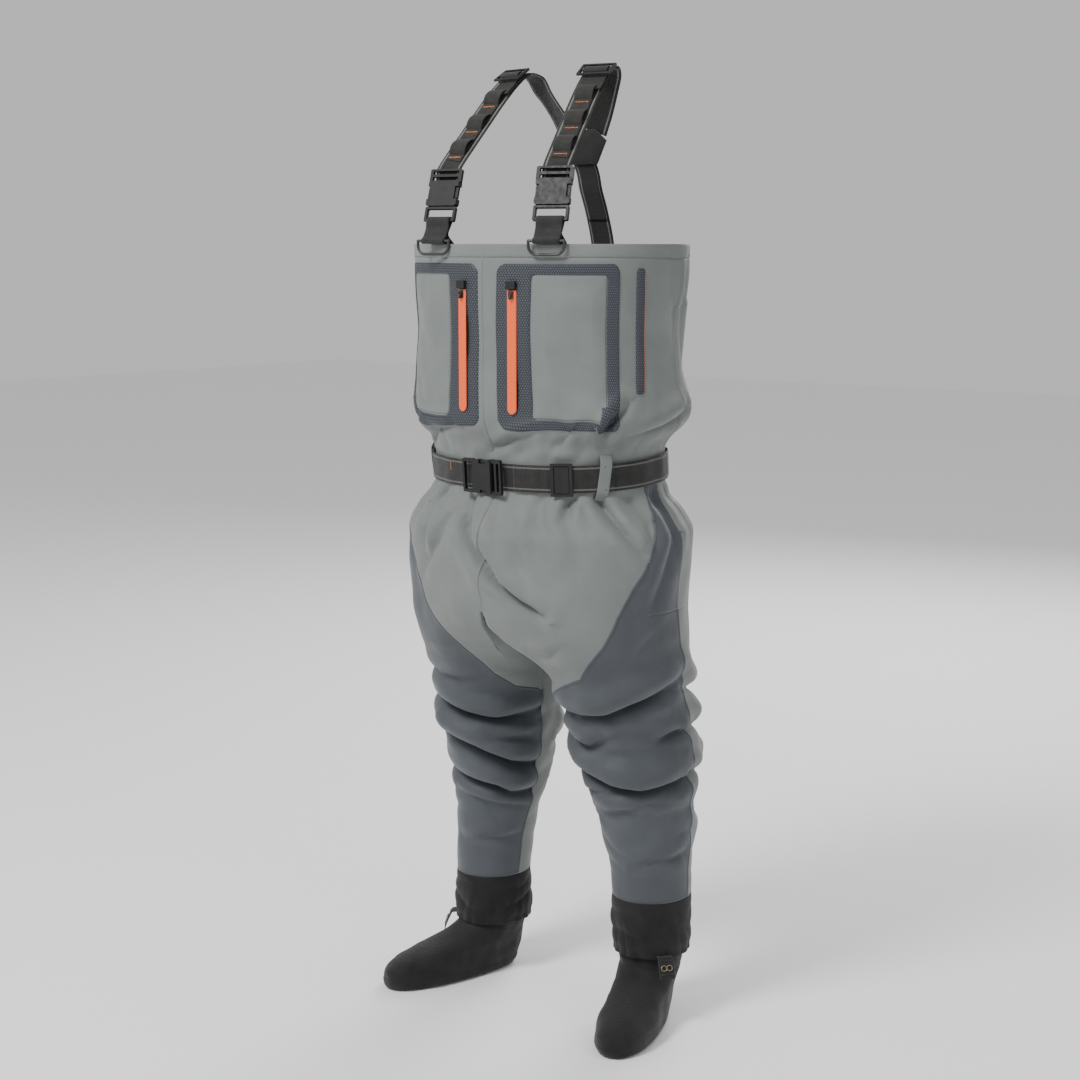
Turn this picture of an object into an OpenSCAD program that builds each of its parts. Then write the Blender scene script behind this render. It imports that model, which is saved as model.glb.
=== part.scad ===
// Stockingfoot chest waders: a bib with bonded pockets, baggy legs, neoprene booties,
// a webbing belt and Y-back braces. Millimetres, +Z up, the front faces -Y and the
// wearer's left is +X. The soles rest on Z = 0.

/* [Bib and legs] */
// Height of the bib's top edge above the soles
bib_top = 1350; // [1300:10:1420]
// Half width of the bib at its top edge
bib_half_w = 258; // [250:1:268]
// Half depth of the bib, front to back
bib_half_d = 165; // [160:1:170]
// Thickness of the three-layer shell fabric
fabric_t = 2; // [1.5:0.1:2.5]
// Thickness of the neoprene in the booties
neoprene_t = 5; // [4:0.5:6]

/* [Belt] */
// Width of the waist belt webbing
belt_w = 46; // [40:1:50]
// Thickness of the belt webbing
belt_t = 3; // [2:0.5:3]
// Tilt of the belt, front low and back high, in degrees
belt_tilt = 4; // [0:1:5]

/* [Braces] */
// Width of the brace webbing
strap_w = 50; // [44:1:50]
// Thickness of the brace webbing
strap_t = 2.4; // [2:0.1:3]
// Highest point of the braces above the soles
strap_top = 1642; // [1600:1:1680]
// Distance of each front brace from the centre line
strap_x = 118; // [112:1:124]
// Lean of the buckles towards the shoulders, in degrees
strap_lean = 17; // [14:1:20]

/* [Zips] */
// Distance of each chest zip from the centre line
zip_x = 53; // [50:1:56]
// Length of the chest zip opening
zip_len = 204; // [184:5:204]
// Height of the top end of the chest zips
zip_top = 1276; // [1272:1:1280]

/* [Hidden] */

RIGHT = -1;
LEFT = 1;
gap = 0.4;
k = bib_top / 1350;

// Heights that divide the garment
z_waist = 975 * k;
z_crotch = 740 * k;
z_knee_seam = 560 * k;
cuff_top = [[RIGHT, 192 * k], [LEFT, 218 * k]];
cuff_low = [[RIGHT, 100], [LEFT, 118]];
sole_t = 6;
garment_roundness = 0.87;

function side_value(table, side) = side == RIGHT ? table[0][1] : table[1][1];
function mix(a, b, t) = a + (b - a) * t;
function signed_pow(v, p) = (v < 0 ? -1 : 1) * pow(abs(v), p);
function unit(v) = v / norm(v);

// ---------- torso: half width, half depth at each height ----------
torso_a = [[740 * k, 258], [800 * k, 260], [870 * k, 260], [910 * k, 234], [928 * k, 214],
  [1024 * k, 214], [1038 * k, 236], [1056 * k, 254], [1080 * k, 262], [1120 * k, 254],
  [1200 * k, 246], [1300 * k, bib_half_w - 2], [bib_top, bib_half_w]];
torso_b = [[740 * k, 184], [800 * k, 186], [870 * k, 184], [910 * k, 164], [928 * k, 148],
  [1024 * k, 148], [1038 * k, bib_half_d - 6], [1056 * k, bib_half_d], [bib_top, bib_half_d]];

// A point on the torso: turn 0 is the centre front, 90 the wearer's left side
function torso(z, turn, off = 0) =
  [(lookup(z, torso_a) + off) * signed_pow(sin(turn), garment_roundness),
   -(lookup(z, torso_b) + off) * signed_pow(cos(turn), garment_roundness), z];

// The turn at which the torso's front has a given x, and the direction it faces there
function turn_at_x(z, x, off = 0) =
  (x < 0 ? -1 : 1) * asin(pow(abs(x) / (lookup(z, torso_a) + off), 1 / garment_roundness));

// ---------- legs: centre and half sizes at each height, for the wearer's left ----------
leg_cx = [[190 * k, 181], [260 * k, 177], [350 * k, 167], [430 * k, 156], [480 * k, 151],
  [540 * k, 143], [600 * k, 137], [660 * k, 134], [740 * k, 131]];
leg_cy = [[190 * k, 66], [350 * k, 70], [430 * k, 64], [480 * k, 60], [540 * k, 50],
  [600 * k, 34], [660 * k, 18], [740 * k, 4]];
leg_a = [[190 * k, 66], [260 * k, 70], [350 * k, 83], [430 * k, 92], [480 * k, 98],
  [540 * k, 103], [600 * k, 110], [660 * k, 118], [740 * k, 126]];
leg_b = [[190 * k, 72], [260 * k, 76], [350 * k, 88], [430 * k, 102], [480 * k, 112],
  [540 * k, 122], [600 * k, 136], [660 * k, 150], [740 * k, 160]];

// The leg starts as half of the torso's outline and turns into an ellipse. Its turn runs
// from -55 at the front of the crotch, round the outside, to 235 at the back of it, and
// on to 305 across the inside.
half_start = -55;
half_end = 235;
inner_gap = 3;
function leg_half(turn, z, off) =
  turn <= half_end
  ? let (p = torso(z_crotch, 180 * (turn - half_start) / (half_end - half_start), off))
    [max(p[0], inner_gap), p[1], z]
  : let (f = (turn - half_end) / (360 + half_start - half_end))
    [inner_gap - off, mix(1, -1, f) * (lookup(z_crotch, torso_b) + off), z];
function leg_round(turn, z, off) =
  [lookup(z, leg_cx) + (lookup(z, leg_a) + off) * sin(turn),
   lookup(z, leg_cy) - (lookup(z, leg_b) + off) * cos(turn), z];
function wrap_turn(turn) = turn < half_start ? turn + 360 : turn;
function leg(side, z, turn, off = 0) =
  let (t = min(1, max(0, (z_crotch - z) / (130 * k))))
  let (p = mix(leg_half(wrap_turn(turn), z, off), leg_round(turn, z, off), t))
  [side * p[0], p[1], z];

// ---------- surfaces ----------
// A closed shell between two grids of points, outer[row][column] and inner[row][column]
module shell(outer, inner, closed_ring = false, flip = false) {
  rows = len(outer);
  cols = len(outer[0]);
  last = closed_ring ? cols - 1 : cols - 2;
  step = rows * cols;
  pts = concat([for (r = outer) each r], [for (r = inner) each r]);
  function quad(a, b, c, d) = [[a, b, c], [a, c, d]];
  function at(layer, i, j) = layer * step + i * cols + j % cols;
  skins = [for (i = [0:rows - 2]) for (j = [0:last]) each concat(
    quad(at(0, i, j), at(0, i + 1, j), at(0, i + 1, j + 1), at(0, i, j + 1)),
    quad(at(1, i, j), at(1, i, j + 1), at(1, i + 1, j + 1), at(1, i + 1, j)))];
  rims = [for (j = [0:last]) each concat(
    quad(at(0, 0, j), at(0, 0, j + 1), at(1, 0, j + 1), at(1, 0, j)),
    quad(at(0, rows - 1, j + 1), at(0, rows - 1, j), at(1, rows - 1, j), at(1, rows - 1, j + 1)))];
  ends = closed_ring ? [] : [for (i = [0:rows - 2]) each concat(
    quad(at(0, i + 1, 0), at(0, i, 0), at(1, i, 0), at(1, i + 1, 0)),
    quad(at(0, i, cols - 1), at(0, i + 1, cols - 1), at(1, i + 1, cols - 1), at(1, i, cols - 1)))];
  faces = concat(skins, rims, ends);
  polyhedron(pts, flip ? [for (f = faces) [f[0], f[2], f[1]]] : faces, convexity = 10);
}

// Evenly spaced values from a to b
function steps(a, b, n) = [for (i = [0:n]) mix(a, b, i / n)];

// A torso panel between two heights and two turns
module torso_panel(z0, z1, nz, t0, t1, nt, off, thick) {
  outer = [for (z = steps(z0, z1, nz)) [for (t = steps(t0, t1, nt)) torso(z, t, off)]];
  inner = [for (z = steps(z0, z1, nz)) [for (t = steps(t0, t1, nt)) torso(z, t, off - thick)]];
  shell(outer, inner);
}

// A leg panel between two heights, where starts and ends give the turns at each height
module leg_panel(side, z0, z1, nz, starts, ends, nt) {
  zs = steps(z0, z1, nz);
  outer = [for (z = zs) [for (t = steps(lookup(z, starts), lookup(z, ends), nt)) leg(side, z, t)]];
  inner = [for (z = zs) [for (t = steps(lookup(z, starts), lookup(z, ends), nt))
    leg(side, z, t, -fabric_t)]];
  shell(outer, inner, false, side == RIGHT);
}

// A ribbon along points, each with the direction of its width
function tangent(p, i) = unit(p[min(i + 1, len(p) - 1)] - p[max(i - 1, 0)]);
function ribbon_side(p, w, i) = let (d = tangent(p, i)) unit(w[i] - (w[i] * d) * d);
module ribbon(p, w, width, thick) {
  n = len(p);
  edge = [for (i = [0:n - 1]) ribbon_side(p, w, i) * width / 2];
  face = [for (i = [0:n - 1]) cross(ribbon_side(p, w, i), tangent(p, i)) * thick / 2];
  shell([for (i = [0:n - 1]) [p[i] - edge[i] + face[i], p[i] + edge[i] + face[i]]],
    [for (i = [0:n - 1]) [p[i] - edge[i] - face[i], p[i] + edge[i] - face[i]]]);
}

// ---------- colours ----------
module sage() color([0.50, 0.53, 0.52]) children();
module slate() color([0.34, 0.36, 0.39]) children();
module black() color([0.12, 0.12, 0.12]) children();
module tape_grey() color([0.24, 0.26, 0.30]) children();
module orange() color([0.98, 0.55, 0.38]) children();
module metal() color([0.55, 0.55, 0.52]) children();
module plastic() color([0.22, 0.22, 0.21]) children();

// ---------- bib and hips ----------
side_turn = 96;
hem_h = 22;
hip_turn = [[z_crotch, 58], [820 * k, 73], [885 * k, 81], [z_waist, 88]];

module bib_front()
  sage() torso_panel(z_waist + gap, bib_top - hem_h - gap, 12, -side_turn, side_turn, 28, 0, fabric_t);

module bib_back()
  sage() torso_panel(z_waist + gap, bib_top - hem_h - gap, 12, side_turn + 0.3, 359.7 - side_turn,
    24, 0, fabric_t);

module bib_hem()
  sage() shell(
    [for (z = [bib_top - hem_h, bib_top]) [for (t = [0:7.5:359]) torso(z, t, 0)]],
    [for (z = [bib_top - hem_h, bib_top]) [for (t = [0:7.5:359]) torso(z, t, -fabric_t - 1)]],
    true);

// The light front and the dark sides meet along a seam that sweeps down to the knee
module hip_part(limit_a, limit_b, nt) {
  zs = steps(z_crotch + gap, z_waist - gap, 8);
  shell([for (z = zs) [for (t = steps(lookup(z, limit_a), lookup(z, limit_b), nt)) torso(z, t)]],
    [for (z = zs) [for (t = steps(lookup(z, limit_a), lookup(z, limit_b), nt))
      torso(z, t, -fabric_t)]]);
}
function shifted(table, scale, add) = [for (row = table) [row[0], row[1] * scale + add]];
function level(value) = [[0, value], [bib_top, value]];

module hip_front() sage() hip_part(shifted(hip_turn, -1, 0), hip_turn, 24);
module hip_side_right() slate() hip_part(level(-side_turn), shifted(hip_turn, -1, -0.3), 4);
module hip_side_left() slate() hip_part(shifted(hip_turn, 1, 0.3), level(side_turn), 4);
module hip_back() sage() hip_part(level(side_turn + 0.3), level(359.7 - side_turn), 24);

// ---------- legs ----------
outer_seam = 100;
inner_seam = -82;
thigh_seam = [[0, inner_seam], [z_knee_seam, inner_seam], [580 * k, -45], [630 * k, 11],
  [690 * k, 30], [z_crotch, 42]];

module thigh_inner(side)
  sage() leg_panel(side, 576 * k, z_crotch - gap, 9, level(inner_seam),
    shifted(thigh_seam, 1, -0.9), 8);
module leg_front(side)
  slate() leg_panel(side, side_value(cuff_top, side) + gap, z_crotch - gap, 20, thigh_seam,
    level(outer_seam), 14);
module leg_back(side)
  sage() leg_panel(side, side_value(cuff_top, side) + gap, z_crotch - gap, 16,
    level(outer_seam + 0.4), level(359.6 + inner_seam), 14);

module thigh_inner_right() thigh_inner(RIGHT);
module thigh_inner_left() thigh_inner(LEFT);
module leg_front_right() leg_front(RIGHT);
module leg_front_left() leg_front(LEFT);
module leg_back_right() leg_back(RIGHT);
module leg_back_left() leg_back(LEFT);

// ---------- booties ----------
ankle = [181, 66];
foot_yaw = 18;
toe_y = [[0, -232], [10, -238], [34, -234], [50, -206], [62, -160], [72, -112], [84, -78],
  [96, -64], [130, -62]];
heel_y = [[0, 40], [10, 48], [50, 54], [90, 56], [130, 60]];
foot_half_w = [[0, 46], [10, 50], [34, 51], [50, 49], [74, 50], [104, 54], [130, 58]];
ball_spread = 0.16;

module on_foot(side)
  translate([side * ankle[0], ankle[1], 0])
    rotate([0, 0, side * foot_yaw])
      children();

// A point on the foot's outline at a height; the ball of the foot is wider than the heel
function foot(z, turn, off) =
  let (mid = (lookup(z, toe_y) + lookup(z, heel_y)) / 2)
  let (half = (lookup(z, heel_y) - lookup(z, toe_y)) / 2)
  let (low = max(0, min(1, (80 - z) / 60)))
  [(lookup(z, foot_half_w) + off) * signed_pow(sin(turn), 0.9) * (1 + ball_spread * low * cos(turn)),
   mid - (half + off) * signed_pow(cos(turn), 0.92), z];

module bootie(side) {
  zs = concat(steps(sole_t, 80, 10), steps(90, side_value(cuff_low, side) + 22, 3));
  black() on_foot(side)
    shell([for (z = zs) [for (t = [0:11.25:359]) foot(z, t, 0)]],
      [for (z = zs) [for (t = [0:11.25:359]) foot(z, t, -neoprene_t)]], true);
}
module sole(side)
  black() on_foot(side)
    linear_extrude(sole_t)
      polygon([for (t = [0:7.5:359]) let (p = foot(sole_t, t, 0)) [p[0], p[1]]]);

// The cuff that is gathered over the ankle, wider than the bootie inside it
cuff_bulge = [[0, 7], [0.2, 10], [0.5, 8], [0.8, 4], [1, 2]];
module ankle_cuff(side) {
  z0 = side_value(cuff_low, side);
  z1 = side_value(cuff_top, side);
  function cuff_pt(f, t, off) =
    let (z = mix(z0, z1, f), q = foot(130, t, lookup(f, cuff_bulge) + off))
    let (low = [side * ankle[0] + q[0] * cos(foot_yaw) - q[1] * sin(side * foot_yaw),
                ankle[1] + q[0] * sin(side * foot_yaw) + q[1] * cos(foot_yaw), z])
    let (high = leg(side, z1, side * t, lookup(f, cuff_bulge) - 2 + off))
    mix(low, [high[0], high[1], z], smooth(f));
  function smooth(f) = f * f * (3 - 2 * f);
  fs = [0, 0.12, 0.3, 0.5, 0.7, 0.88, 1];
  black() shell([for (f = fs) [for (t = [0:11.25:359]) cuff_pt(f, t, 0)]],
    [for (f = fs) [for (t = [0:11.25:359]) cuff_pt(f, t, -3)]], true);
}
module ankle_cuff_right() ankle_cuff(RIGHT);
module ankle_cuff_left() ankle_cuff(LEFT);
module bootie_right() bootie(RIGHT);
module bootie_left() bootie(LEFT);
module sole_right() sole(RIGHT);
module sole_left() sole(LEFT);

// ---------- chest pockets ----------
pocket_top = 1318 * k;
pocket_low = 1048 * k;
pocket_in = 3;
pocket_out = 57;
window_in = 17;
window_out = 51;
window_top = 1301 * k;
window_low = 1064 * k;
tape_off = 2.4;
tape_t = 1.2;

module pocket_panel(side)
  sage() mirror([side == RIGHT ? 1 : 0, 0, 0])
    torso_panel(window_low + 1, window_top - 1, 6, window_in + 0.3, window_out - 0.3, 8, tape_off, tape_t);

// The mesh tape goes all round the pocket's window, with the zip on its inner band
module pocket_tape(side)
  tape_grey() mirror([side == RIGHT ? 1 : 0, 0, 0]) {
    torso_panel(window_top + gap, pocket_top, 1, pocket_in, pocket_out, 8, tape_off, tape_t);
    torso_panel(pocket_low, window_low - gap, 1, pocket_in, pocket_out, 8, tape_off, tape_t);
    torso_panel(window_low, window_top, 6, pocket_in, window_in, 3, tape_off, tape_t);
    torso_panel(window_low, window_top, 6, window_out, pocket_out, 2, tape_off, tape_t);
  }
module pocket_panel_right() pocket_panel(RIGHT);
module pocket_panel_left() pocket_panel(LEFT);
module pocket_tape_right() pocket_tape(RIGHT);
module pocket_tape_left() pocket_tape(LEFT);

// ---------- chest zips: a straight tape in front of the mesh, with slider and pull ----------
zip_w = 18;
zip_t = 1.6;
zip_y = -(bib_half_d + tape_off + 1.2);
zip_angle = 6;
module on_zip(side)
  translate([side * zip_x, zip_y, zip_top])
    rotate([0, 0, side * zip_angle])
      children();

module zip_tape(side)
  orange() on_zip(side) {
    translate([-zip_w / 2, -zip_t / 2, -zip_len + zip_w / 2])
      cube([zip_w, zip_t, zip_len - zip_w / 2]);
    translate([0, zip_t / 2, -zip_len + zip_w / 2])
      rotate([90, 0, 0])
        difference() {
          cylinder(d = zip_w, h = zip_t, $fn = 48);
          translate([-zip_w, 0, -1]) cube([2 * zip_w, zip_w, zip_t + 2]);
        }
  }
module zip_tape_right() zip_tape(RIGHT);
module zip_tape_left() zip_tape(LEFT);

// Black hoods that the sliders park under
module zip_garage()
  for (side = [RIGHT, LEFT])
    plastic() on_zip(side)
      translate([0, 0, 1])
        difference() {
          translate([-9, -5, 0]) cube([18, 5.6, 13]);
          translate([-6.5, -3.4, -1]) cube([13, 5, 9]);
        }

module zip_slider(side)
  metal() on_zip(side) {
    translate([-4.5, -3.4, -15]) cube([9, 1.6, 13]);
    translate([-3.4, -5.6, -8.8]) cube([1.2, 2.4, 3.6]);
    translate([2.2, -5.6, -8.8]) cube([1.2, 2.4, 3.6]);
  }
module zip_slider_right() zip_slider(RIGHT);
module zip_slider_left() zip_slider(LEFT);

module zip_pull(side)
  plastic() on_zip(side)
    translate([0, -4.8, -7])
      union() {
        rotate([0, 90, 0]) cylinder(d = 1.4, h = 3.8, center = true, $fn = 24);
        translate([-1.4, -0.7, -6.2]) cube([2.8, 1.4, 5.8]);
        translate([0, -1.2, -6.8]) sphere(r = 2.2, $fn = 32);
      }
module zip_pull_right() zip_pull(RIGHT);
module zip_pull_left() zip_pull(LEFT);

// ---------- handwarmer pockets at the sides ----------
side_pocket = [67, 71];
side_top = 1311 * k;
side_low = 1108 * k;
module side_pocket_tape()
  for (side = [0, 1])
    tape_grey() mirror([side, 0, 0])
      torso_panel(side_low, side_top, 6, side_pocket[0], side_pocket[1], 2, tape_off, tape_t);
module side_zip_tape()
  for (side = [0, 1])
    orange() mirror([side, 0, 0])
      torso_panel(side_low + 6, side_top - 6, 6, side_pocket[1] + 0.3, side_pocket[1] + 1.4, 1, tape_off, tape_t);

// ---------- belt ----------
belt_clear = 3.2;
module on_belt()
  translate([0, 0, z_waist])
    rotate([belt_tilt, 0, 0])
      children();
function belt_pt(turn, off) = let (p = torso(z_waist, turn, belt_clear + off)) [p[0], p[1]];
function belt_face(turn) = let (d = belt_pt(turn + 1, 0) - belt_pt(turn - 1, 0)) atan2(d[1], d[0]);
// Places children on the belt's outer face, with x along the belt and -y outwards
module at_belt(turn, off = 0) {
  p = belt_pt(turn, belt_t + off);
  on_belt() translate([p[0], p[1], 0]) rotate([0, 0, belt_face(turn)]) children();
}
belt_buckle_turn = -3;
module belt_webbing()
  black() on_belt()
    translate([0, 0, -belt_w / 2])
      linear_extrude(belt_w)
        difference() {
          polygon([for (t = [0:4:359]) belt_pt(t, belt_t)]);
          polygon([for (t = [0:4:359]) belt_pt(t, 0)]);
        }

// Fabric loops that keep the belt in place
loop_turns = [56, 118, 180, 242, 304];
loop_w = 20;
loop_t = 1.6;
loop_out = 1.2;
foot_h = 5;
loop_slant = 14;
module belt_loops() {
  rise = belt_w / 2 + 8;
  in = belt_t + belt_clear - 1.2;
  for (t = loop_turns)
    sage() at_belt(t, 0)
      rotate([0, loop_slant, 0])
        translate([-loop_w / 2, 0, 0])
          rotate([90, 0, 90])
            linear_extrude(loop_w)
              polygon([[in, rise + foot_h], [-loop_out, rise], [-loop_out - loop_t, rise],
                [-loop_out - loop_t, -rise], [-loop_out, -rise], [in, -rise - foot_h],
                [in, -rise - foot_h + 2 * loop_t], [-loop_out, -rise + 2 * loop_t],
                [-loop_out, rise - 2 * loop_t], [in, rise + foot_h - 2 * loop_t]]);
}

// ---------- side release buckles ----------
// Local frame: z runs along the webbing, the female half opens at z = 0 towards -z,
// x is across the webbing and -y is the outside
brace_body_h = 44;
belt_body_h = 36;
body_d = 11;
wall = 2.2;
rail = 4.6;
ladder_h = 21;
male_h = 26;
module rounded_slab(w, d, h, r) {
  hull()
    for (x = [-w / 2 + r, w / 2 - r])
      for (z = [r, h - r])
        translate([x, d / 2, z])
          rotate([90, 0, 0])
            cylinder(r = r, h = d, $fn = 24);
}
module buckle_female(w, body_h) {
  outer = w + 11;
  plastic() difference() {
    union() {
      rounded_slab(outer, body_d, body_h, 4);
      translate([0, 0, body_h - 4]) rounded_slab(outer + 3, 6, ladder_h + 4, 3);
    }
    translate([-w / 2 - 2, -body_d / 2 + wall, -1]) cube([w + 4, body_d - 2 * wall, body_h - 3]);
    for (s = [-1, 1])
      translate([s * outer / 2 - 6, -body_d / 2 - 1, 12]) cube([12, body_d + 2, body_h - 22]);
    translate([-w / 2 - 1, -5, body_h + 1]) cube([w + 2, 10, 6]);
    translate([-w / 2 - 1, -5, body_h + 11.5]) cube([w + 2, 10, 6]);
  }
}
module buckle_male(w, body_h) {
  outer = w + 12;
  plastic() {
    difference() {
      translate([0, 0, -male_h - 1]) rounded_slab(outer, 7, male_h, 3);
      translate([-w / 2 - 1, -5, -male_h + rail - 1]) cube([w + 2, 10, male_h - 2 * rail]);
    }
    translate([-4, -2.4, -2]) cube([8, 4.8, body_h - 8]);
  }
}
prong_x = 15;
prong_w = 6;
module prong(w, body_h, side) {
  reach = w / 2 + 5.2;
  plastic() mirror([side < 0 ? 1 : 0, 0, 0]) {
    translate([prong_x, -2.6, -0.6]) cube([prong_w, 5.2, body_h - 8]);
    translate([prong_x, -2.6, 13]) cube([reach - prong_x, 5.2, body_h - 24]);
  }
}

// The belt's buckle lies on its side, with its ladder towards the wearer's left
module belt_frame()
  at_belt(belt_buckle_turn, 7)
    rotate([0, 90, 0])
      rotate([0, 0, 180])
        translate([0, 0, -14])
          children();
module belt_buckle_female() belt_frame() buckle_female(belt_w, belt_body_h);
module belt_buckle_male() belt_frame() buckle_male(belt_w, belt_body_h);
module belt_prong_upper() belt_frame() prong(belt_w, belt_body_h, 1);
module belt_prong_lower() belt_frame() prong(belt_w, belt_body_h, -1);

// A glide that slides along the belt, hooked over both of its edges
glide_turn = 33;
module belt_glide() {
  tall = belt_w + 9;
  plastic() at_belt(glide_turn, 0)
    for (x = [-19, 13])
      translate([x, -5.6, -tall / 2]) cube([6, 4, tall]);
  plastic() at_belt(glide_turn, 0)
    for (s = [-1, 1])
      translate([-19, -5.6, s * (tall / 2 - 2) - 2]) cube([38, 4, 4]);
  black() at_belt(glide_turn, 0)
    translate([-13 + gap, -4.4, -belt_w / 2]) cube([26 - 2 * gap, 2.4, belt_w]);
}

// ---------- D-rings, buckles and braces ----------
strap_yaw = [[RIGHT, 6], [LEFT, 17]];
ring_y = [[RIGHT, -166], [LEFT, -160]];
ring_z = bib_top + 5;
buckle_up = 60;
function yaw_of(side) = side_value(strap_yaw, side);
module on_ring(side)
  translate([side * strap_x, side_value(ring_y, side), ring_z])
    rotate([0, 0, yaw_of(side)])
      children();
module on_buckle(side)
  on_ring(side)
    translate([0, tab_back, 0])
      rotate([-strap_lean, 0, 0])
        translate([0, 0, buckle_up])
          children();

ring_r = 2.4;
ring_half = strap_w / 2 + 6;
ring_drop = 22;
module d_ring(side)
  metal() on_ring(side) {
    rotate([0, 90, 0]) cylinder(r = ring_r, h = 2 * ring_half, center = true, $fn = 32);
    for (s = [-1, 1]) {
      translate([s * ring_half, 0, 0]) sphere(r = ring_r, $fn = 32);
      translate([s * ring_half, 0, -8]) cylinder(r = ring_r, h = 8, $fn = 32);
      translate([s * (ring_half - 14), 0, -8])
        rotate([90, 0, 0])
          rotate([0, 0, s > 0 ? -90 : 180])
            rotate_extrude(angle = 90, $fn = 48) translate([14, 0]) circle(r = ring_r, $fn = 32);
    }
    translate([0, 0, -ring_drop]) rotate([0, 90, 0])
      cylinder(r = ring_r, h = 2 * (ring_half - 14), center = true, $fn = 32);
  }
module d_ring_right() d_ring(RIGHT);
module d_ring_left() d_ring(LEFT);

// The webbing tab: sewn inside the bib, up round the buckle's bar, with a sleeve for the ring
tab_t = 2.4;
tab_down = 50;
tab_back = 9;
wall_slope = 14.6;
sleeve_w = strap_w - 4;
module on_tab(side) on_ring(side) translate([0, tab_back, 0]) rotate([-strap_lean, 0, 0]) children();
module inside_wall(side) {
  p = torso(bib_top, side * turn_at_x(bib_top, strap_x), -fabric_t - 4.2);
  translate([side * strap_x, p[1], bib_top]) rotate([0, 0, side * wall_slope]) children();
}
module ring_tab(side) {
  top = buckle_up - male_h - 1;
  black() {
    inside_wall(side) translate([-strap_w / 2, 0, -tab_down]) cube([strap_w, tab_t, tab_down + 2]);
    hull() {
      inside_wall(side) translate([-strap_w / 2 + 0.7, 0.2, 0.8]) cube([strap_w - 1.4, tab_t - 0.4, 1]);
      on_tab(side) translate([-strap_w / 2 + 0.9, -0.9, 0.6]) cube([strap_w - 1.8, 1.8, 1]);
    }
    on_tab(side) {
      translate([-strap_w / 2, -tab_t / 2, 0]) cube([strap_w, tab_t, top - 2.8]);
      translate([-strap_w / 2, -6.4, top - 4]) cube([strap_w, 12.8, 1.6]);
      for (y = [-6.4, 4.8])
        translate([-strap_w / 2, y, top - 4]) cube([strap_w, 1.6, rail + 6]);
      translate([-strap_w / 2, -6.4, top + rail + 1]) cube([strap_w, 12.8, 1.6]);
    }
    on_ring(side)
      difference() {
        union() {
          rotate([0, 90, 0]) cylinder(r = ring_r + 2, h = sleeve_w, center = true, $fn = 48);
          translate([-sleeve_w / 2, 0, ring_r + 0.4]) cube([sleeve_w, tab_back, 1.6]);
        }
        rotate([0, 90, 0]) cylinder(r = ring_r + 0.35, h = strap_w + 4, center = true, $fn = 48);
      }
  }
}
module ring_tab_right() ring_tab(RIGHT);
module ring_tab_left() ring_tab(LEFT);

module buckle_female_right() on_buckle(RIGHT) buckle_female(strap_w, brace_body_h);
module buckle_female_left() on_buckle(LEFT) buckle_female(strap_w, brace_body_h);
module buckle_male_right() on_buckle(RIGHT) buckle_male(strap_w, brace_body_h);
module buckle_male_left() on_buckle(LEFT) buckle_male(strap_w, brace_body_h);
module prong_outer_right() on_buckle(RIGHT) prong(strap_w, brace_body_h, -1);
module prong_inner_right() on_buckle(RIGHT) prong(strap_w, brace_body_h, 1);
module prong_outer_left() on_buckle(LEFT) prong(strap_w, brace_body_h, 1);
module prong_inner_left() on_buckle(LEFT) prong(strap_w, brace_body_h, -1);

// Where a point of the buckle's local (y, z) plane lies
function buckle_pt(side, y, z) =
  let (up = [0, sin(strap_lean), cos(strap_lean)], back = [0, cos(strap_lean), -sin(strap_lean)])
  let (q = [0, tab_back, 0] + back * y + up * (buckle_up + z))
  [side * strap_x - q[1] * sin(yaw_of(side)),
   side_value(ring_y, side) + q[1] * cos(yaw_of(side)), ring_z + q[2]];
function yaw_dir(side, more = 0) = [cos(yaw_of(side) + more), sin(yaw_of(side) + more), 0];

// The brace: up from the buckle's ladder, over the shoulder and down to the yoke
brace_back = 5.2;
shoulder_x = 85;
shoulder_y = 42;
yoke_y = 92;
yoke_z = 1512;
brace_rise = [[0.18, 0.22], [0.36, 0.43], [0.54, 0.64], [0.72, 0.83], [0.88, 0.96]];
function brace_front(side) =
  let (low = buckle_pt(side, brace_back, brace_body_h + 26), high = [side * shoulder_x, shoulder_y, strap_top])
  [for (s = brace_rise) [mix(low[0], high[0], s[0]), mix(low[1], high[1], s[0]),
    mix(low[2], high[2], s[1])]];
function brace_path(side) = concat(
  [buckle_pt(side, brace_back, brace_body_h + 2), buckle_pt(side, brace_back, brace_body_h + 12),
   buckle_pt(side, brace_back, brace_body_h + 26)],
  brace_front(side),
  [[side * shoulder_x, shoulder_y, strap_top],
   [side * (shoulder_x - 8), shoulder_y + 18, strap_top - 10],
   [side * (shoulder_x - 22), shoulder_y + 28, strap_top - 36],
   [side * (shoulder_x - 42), shoulder_y + 40, strap_top - 72],
   [side * (shoulder_x - 57), shoulder_y + 46, strap_top - 100]]);
function brace_sides(side) =
  [for (i = [0:len(brace_path(side)) - 1]) i < 8 ? yaw_dir(side) : [1, side * 0.2, side * 0.35]];
module brace(side)
  black() ribbon(brace_path(side), brace_sides(side), strap_w, strap_t);
module brace_right() brace(RIGHT);
module brace_left() brace(LEFT);

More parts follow.
